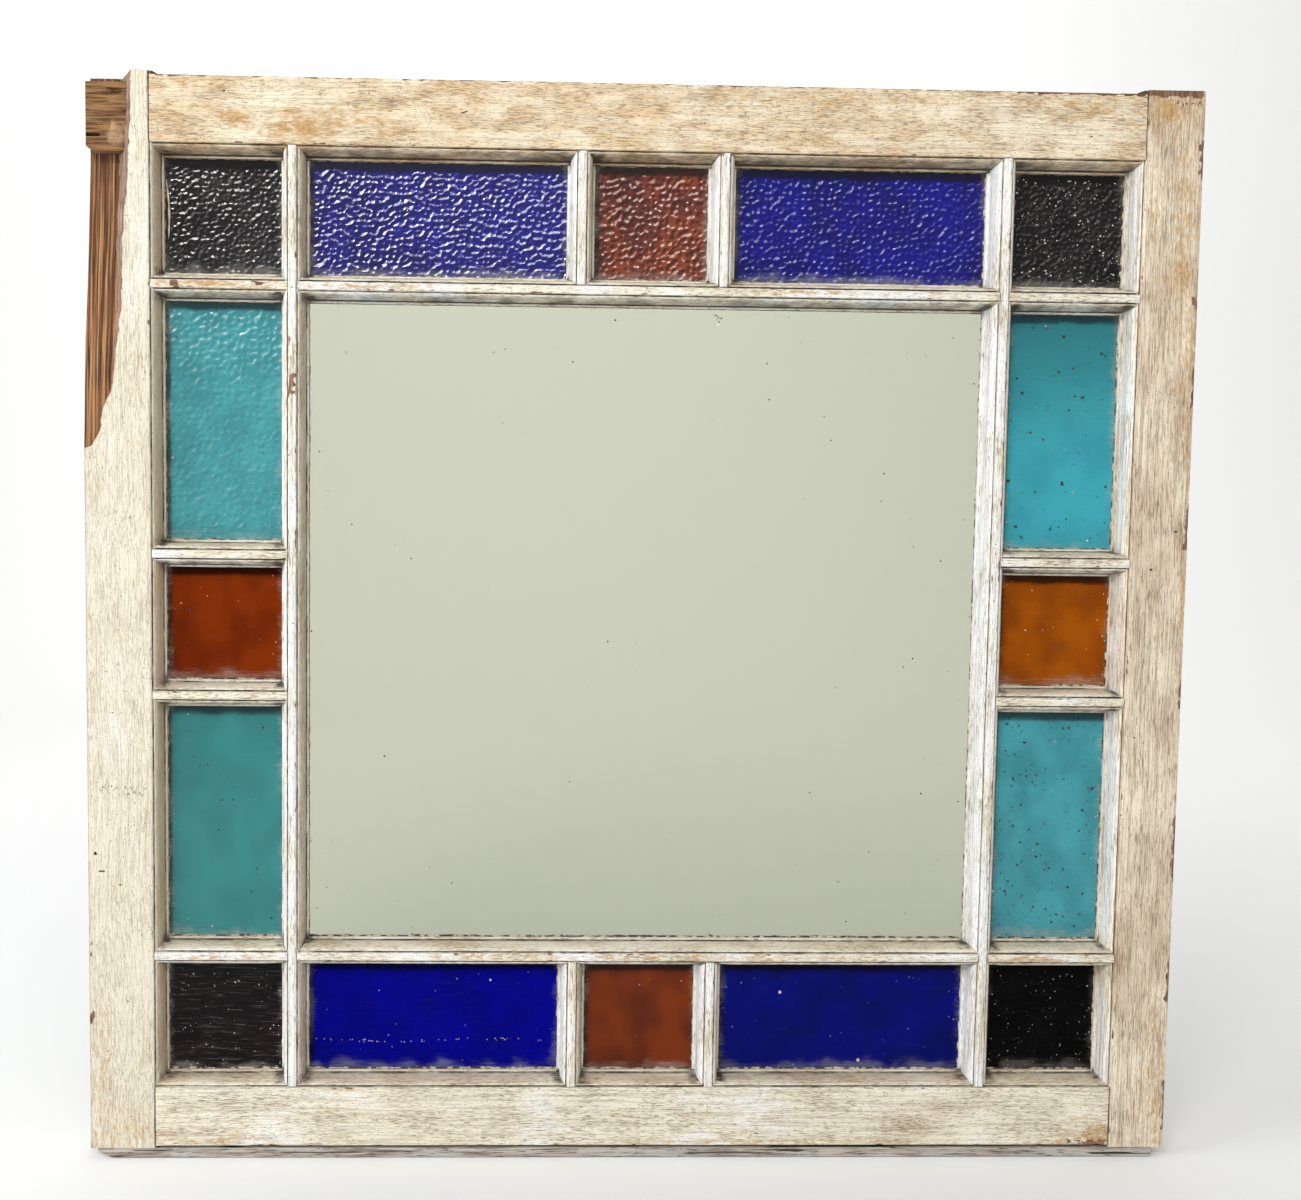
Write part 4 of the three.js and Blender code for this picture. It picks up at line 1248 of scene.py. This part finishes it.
def makePutty(node, seed):
    (left, front, foot), (right, back, head) = boxMm(node)
    run, points = puttyRun, []
    loops = [[(left + i, foot + i), (right - i, foot + i), (right - i, head - i), (left + i, head - i)]
             for i, deep in run["section"]]
    for side in range(4):
        length = math.dist(loops[0][side], loops[0][(side + 1) % 4])
        for share in np.arange(0, 1, 1 / max(4, round(length / run["step"]))):
            for (inset, deep), loop in zip(run["section"], loops):
                (px, pz), (qx, qz) = loop[side], loop[(side + 1) % 4]
                x, z = px + (qx - px) * share, pz + (qz - pz) * share
                fall = 0.0
                if 0 < inset < 5.97 and deep > 0.1:     # the sloping face
                    fall = run["waver"] * (0.5 + 0.5 * float(layeredNoise(x / 22, z / 22, inset / 4, seed, 2)))
                    crack = abs(float(smoothNoise(x / run["crackPitch"], z / run["crackPitch"], inset / 9, seed + 3)))
                    fall += run["crackDepth"] * max(0.0, 1 - crack / run["crackWidth"])
                points.append((x, front + max(0.0, deep - fall), z))
    columns = len(run["section"])
    ring = closedPiece(pieceName(node), points, gridFaces(len(points) // columns, columns, ring=True), [oldPutty], 40)
    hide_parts(node)
    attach(ring, "root")
    return ring


puttyNodes = [n for n in nodeNames if n.startswith("putty_")]
putty = {node: makePutty(node, 900 + 11 * number) for number, node in enumerate(puttyNodes)}
print("putty", sum(len(p.data.polygons) for p in putty.values()))

# The line of old paint and dirt that runs where each pane meets its moulding, in millimetres
paintLine = {"step": 2.2, "least": 0.15, "most": 1.5, "footExtra": 0.5, "height": 1.0,
             "sides": (0.75, 0.8, 0.12, 0.5),     # foot, right, head, left
             "buried": 0.3, "behind": 0.75}
paintLineMaterial = lumpyMaterial("paintLine", (0.040, 0.028, 0.020), (0.60, 0.53, 0.40), (5.5, 5.5, 3, 0, 41),
                                  (0.44, 0.56), (0.1, 0.9, 0.95),
                                  {"lumps": (1.4, 1.4, 2, 0, 43), "turn": (0.55, 0.64, 0.8),
                                   "colour": (0.12, 0.085, 0.06)})


def makePaintLines(seed):
    line, g, w = paintLine, moulding["glassDepth"], moulding["width"]
    cornerWays = [(1, 1), (-1, 1), (-1, -1), (1, -1)]       # towards the middle of the pane
    sideWays = [(0, 1), (-1, 0), (0, -1), (1, 0)]
    points, faces = [], []
    for number, (left, right, low, high) in enumerate(openings):
        start = len(points)
        rect = [(left + w, low + w), (right - w, low + w), (right - w, high - w), (left + w, high - w)]
        for side in range(4):
            a, b = np.array(rect[side]), np.array(rect[(side + 1) % 4])
            count = int(np.hypot(*(b - a)) / line["step"])
            for share in np.arange(count) / count:
                x, z = a + (b - a) * share
                across, up = cornerWays[side] if share == 0 else sideWays[side]
                lump = float(layeredNoise(x / 6, z / 6, number, seed, 3))
                reach = line["least"] + line["most"] * max(0.0, lump + 0.15)
                reach = (reach + line["footExtra"] * (side == 0)) * line["sides"][side]
                tall = line["height"] * (0.5 + 0.5 * abs(lump)) * min(1.0, 0.3 + line["sides"][side])
                for out, deep in [(-line["buried"], -tall), (-line["buried"], line["behind"]),
                                  (reach, line["behind"]), (reach * 0.72, 0.1)]:
                    points.append((x + across * out, frontFace + g + deep, z + up * out))
        faces += gridFaces((len(points) - start) // 4, 4, ring=True, start=start)
    return closedPiece("paintLines", points, faces, [paintLineMaterial], 50)


lines = makePaintLines(61)
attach(lines, "root")


def ribbonPiece(name, points, material, sharpAngle):
    # a thin piece from rows of four corners
    rows = len(points) // 4
    faces = gridFaces(rows, 4) + [(3, 2, 1, 0), tuple(4 * (rows - 1) + k for k in range(4))]
    piece = closedPiece(name, points, faces, [material], sharpAngle)
    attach(piece, "root")


sliver = {"x": -343.6, "low": 672.0, "high": 715.0, "wide": 1.7, "depth": 19.6, "step": 1.5, "bow": 1.3, "lean": 1.6}


def makeSliver():
    points = []
    for z in np.arange(sliver["low"], sliver["high"] + 0.1, sliver["step"]):
        share = (z - sliver["low"]) / (sliver["high"] - sliver["low"])
        half = sliver["wide"] * (0.25 + 0.75 * math.sin(math.pi * share) ** 0.6) / 2
        half = half * (0.8 + 0.3 * float(smoothNoise(z / 4, 0, 0, 3)))
        x = sliver["x"] + sliver["bow"] * math.sin(math.pi * share) - sliver["lean"] * share
        y = frontFace + sliver["depth"]
        points += [(x - half, y, z), (x + half, y - 0.5, z), (x + half, y - 0.1, z), (x - half, y + 0.4, z)]
    ribbonPiece("looseSliver", points, flakeMaterial("sliverPaint", (0.74, 0.68, 0.54), (0.50, 0.40, 0.26)), 50)


makeSliver()

# A curl of paint that hangs from the upper cross bar, as a bent ribbon in mm; its path is x and z
curl = {
    "path": [(50.6, 622.6), (52.4, 623.2), (54.2, 622.4), (54.5, 620.8), (53.2, 619.9), (54.6, 619.0),
             (54.8, 617.4), (53.4, 616.2), (51.6, 616.4)],
    "depth": 14.5, "sway": 0.8, "half": 0.55, "halfDepth": 0.6,
}


def makeCurl():
    points = []
    for i, (x, z) in enumerate(curl["path"]):
        y = frontFace + curl["depth"] + curl["sway"] * math.sin(i)
        half = curl["half"] * (1 - 0.5 * abs(2 * i / (len(curl["path"]) - 1) - 1))
        points += [(x + half * a, y + curl["halfDepth"] * b, z - half * a)
                   for a, b in [(-1, -1), (1, -1), (1, 1), (-1, 1)]]
    ribbonPiece("paintCurl", points, flakeMaterial("curlPaint", (0.70, 0.66, 0.58), (0.06, 0.05, 0.04)), 40)


makeCurl()

# Specks stuck to the panes: how many dark and how many pale, and their size in millimetres
specks = {
    "left_upper_teal": (34, 8, 0.7), "left_lower_teal": (22, 6, 0.7), "right_upper_teal": (70, 10, 1.0),
    "right_lower_teal": (170, 14, 0.85), "left_amber": (18, 20, 0.6), "right_amber": (20, 24, 0.6),
    "top_left_corner": (0, 10, 0.5), "top_right_corner": (0, 230, 0.62), "bottom_left_corner": (0, 120, 0.45),
    "bottom_right_corner": (0, 120, 0.4), "top_right_blue": (20, 16, 0.4), "bottom_left_blue": (10, 40, 0.35),
    "bottom_right_blue": (16, 60, 0.4), "bottom_red": (20, 14, 0.4), "top_red": (4, 6, 0.4),
    "centre_clear": (90, 60, 0.5), "top_left_blue": (6, 4, 0.4),
}
strewn = ["top_right_corner", "bottom_right_corner", "top_left_blue"]
roundSpots = {"bottom_right_blue": [(111.8, 119.3, 1.5), (172.5, 66.7, 1.7)],
              "bottom_left_blue": [(-107.0, 128.0, 1.1)]}
scratchLine = {"pane": "bottom_left_blue", "from": (-238.0, 81.8), "to": (-64.0, 82.0), "flakes": 46, "size": 0.42}
speckShape = {
    "corners": 7,
    "levels": [(0.10, 0.8), (0.32, 1.0), (0.73, 1.0)],      # depth behind the pane's face, and size there
}


def makeSpecks(name, pale, material, seed):
    dice = np.random.default_rng(seed)
    points, faces = [], []
    reach, corners = width - 1 + 1.2, speckShape["corners"]
    for node, (darkCount, paleCount, size) in specks.items():
        low, high = boxMm("pane_" + node)
        spots = []
        for i in range(paleCount if pale else darkCount):
            u, v = dice.random(2)
            if (pale or node == "centre_clear") and not (node in strewn and i % 3):
                # pale ones lie mostly along the edges
                pull = dice.random() ** 2.6 * 0.5
                u, v = [(u, pull), (u, 1 - pull * 0.6), (pull, v), (1 - pull, v)][int(dice.integers(4))]
            spots.append((low[0] + reach + u * (high[0] - low[0] - 2 * reach),
                          low[2] + reach + v * (high[2] - low[2] - 2 * reach),
                          size * (0.45 + 0.9 * dice.random() ** 2)))
        if pale:
            spots += roundSpots.get(node, [])
        if pale and node == scratchLine["pane"]:
            (fromX, fromZ), (toX, toZ) = scratchLine["from"], scratchLine["to"]
            for i in range(scratchLine["flakes"]):
                x = fromX + dice.random() * (toX - fromX)
                spots.append((x, fromZ + 0.5 * dice.normal() + 1.2 * math.sin(x / 23), scratchLine["size"]))
        for x, z, radius in spots:
            start = len(points)
            turn, stretch = dice.random() * 3.1, 0.8 + 0.5 * dice.random()
            angles = [2 * math.pi * k / corners + turn for k in range(corners)]
            ring = [(math.cos(angle) * stretch, math.sin(angle)) for angle in angles]
            for number, (level, grow) in enumerate(speckShape["levels"]):
                wobble = 0.8 + 0.4 * dice.random(corners)
                points += [(x + a * radius * grow * w, low[1] + level, z + b * radius * grow * w)
                           for (a, b), w in zip(ring, wobble if number == 0 else [1.0] * corners)]
            faces += gridFaces(3, corners, start=start)
            faces.append(tuple(start + k for k in range(corners)))
            faces.append(tuple(start + 2 * corners + k for k in reversed(range(corners))))
    flakes = closedPiece(name, points, faces, [material], 50)
    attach(flakes, "root")
    return flakes


makeSpecks("darkSpecks", False, flakeMaterial("darkFlake", (0.03, 0.05, 0.045), (0.012, 0.012, 0.010)), 5)
makeSpecks("paleSpecks", True, flakeMaterial("paleFlake", (0.70, 0.67, 0.60), (0.30, 0.26, 0.21)), 6)
print("paint lines and specks")

for piece, node in [(leftStile, "left_stile"), (rightStile, "right_stile"), (topRail, "top_rail"),
                    (bottomRail, "bottom_rail")] + [(bars[n], n) for n in bars]:
    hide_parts(node)
    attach(piece, "root")

studio = {
    "sky": (0.94, 0.95, 0.96), "skyStrength": 0.66,
    "floor": (0.90, 0.895, 0.88), "floorRoughness": 0.9,
    "front": -12.0, "bend": 2.2, "radius": 1.4, "head": 5.0, "half": 16.0,      # of the floor, in metres
    "bendSteps": 16, "drop": 0.5 * mm,
}
# each lamp: power in watts, size and place in metres, what it points at, colour
lamps = {
    "upperLight": (11.8, (0.50, 0.20), (-0.76, -1.65, 1.44), (0, 0, 0.42), (1.0, 0.985, 0.95)),
    "farLight": (4.5, (0.5, 0.14), (0.12, -1.65, 1.50), (0, 0, 0.42), (1.0, 1.0, 1.0)),
    "sideLight": (34.0, (1.3, 1.3), (-2.3, -0.8, 0.9), (0, 0, 0.42), (0.88, 0.94, 1.0)),
    "wallLight": (46.0, (3.2, 0.8), (0, 1.0, 2.6), (0, 3.6, 1.6), (1.0, 1.0, 1.0)),
}


def makeFloor():
    # flat, then swept up far behind the sash
    s = studio
    profile = [(s["front"], 0.0), (s["bend"], 0.0)]
    for step in range(1, s["bendSteps"] + 1):
        angle = math.pi / 2 * step / s["bendSteps"]
        profile.append((s["bend"] + s["radius"] * math.sin(angle), s["radius"] * (1 - math.cos(angle))))
    profile.append((s["bend"] + s["radius"], s["head"]))
    points = [(x / mm, y / mm, (z - s["drop"]) / mm) for y, z in profile for x in (-s["half"], s["half"])]
    faces = [(2 * i, 2 * i + 1, 2 * i + 3, 2 * i + 2) for i in range(len(profile) - 1)]
    material, tree, shader = newMaterial("studioPaper")
    shader.inputs["Base Color"].default_value = (*s["floor"], 1)
    shader.inputs["Roughness"].default_value = s["floorRoughness"]
    floor = makeMesh("studioFloor", points, faces, [material], 80)


makeFloor()
world = bpy.data.worlds.new("studioLight")
bpy.context.scene.world = world
world.use_nodes = True
world.node_tree.nodes["Background"].inputs["Color"].default_value = (*studio["sky"], 1)
world.node_tree.nodes["Background"].inputs["Strength"].default_value = studio["skyStrength"]


def addSoftLight(name, power, size, place, target, colour):
    lamp = bpy.data.lights.new(name, "AREA")
    lamp.shape = "RECTANGLE"
    lamp.energy = power
    lamp.color = colour
    lamp.size, lamp.size_y = size
    light = bpy.data.objects.new(name, lamp)
    light.location = place
    light.rotation_mode = "QUATERNION"
    light.rotation_quaternion = (Vector(target) - light.location).to_track_quat("-Z", "Y")
    light.visible_camera = False
    bpy.context.scene.collection.objects.link(light)


for name, settings in lamps.items():
    addSoftLight(name, *settings)

cameraView = {
    "place": (-0.1032, -1.0659, 0.4793),
    "right": (0.9995347, -0.0282260, 0.0115644),
    "up": (-0.0096048, 0.0685969, 0.9975982),
    "back": (-0.0289515, -0.9972451, 0.0682939),
    "lens": 40.15,
    "shift": (0.0841, 0.0085),
}
camera = bpy.data.cameras.new("photoView")
camera.sensor_width = 36
camera.lens = cameraView["lens"]
camera.shift_x, camera.shift_y = cameraView["shift"]
viewer = bpy.data.objects.new("photoView", camera)
turn = Matrix([cameraView["right"], cameraView["up"], cameraView["back"]]).transposed().to_4x4()
viewer.matrix_world = Matrix.Translation(cameraView["place"]) @ turn
bpy.context.scene.collection.objects.link(viewer)
bpy.context.scene.camera = viewer
bpy.context.scene.view_settings.view_transform = "Standard"
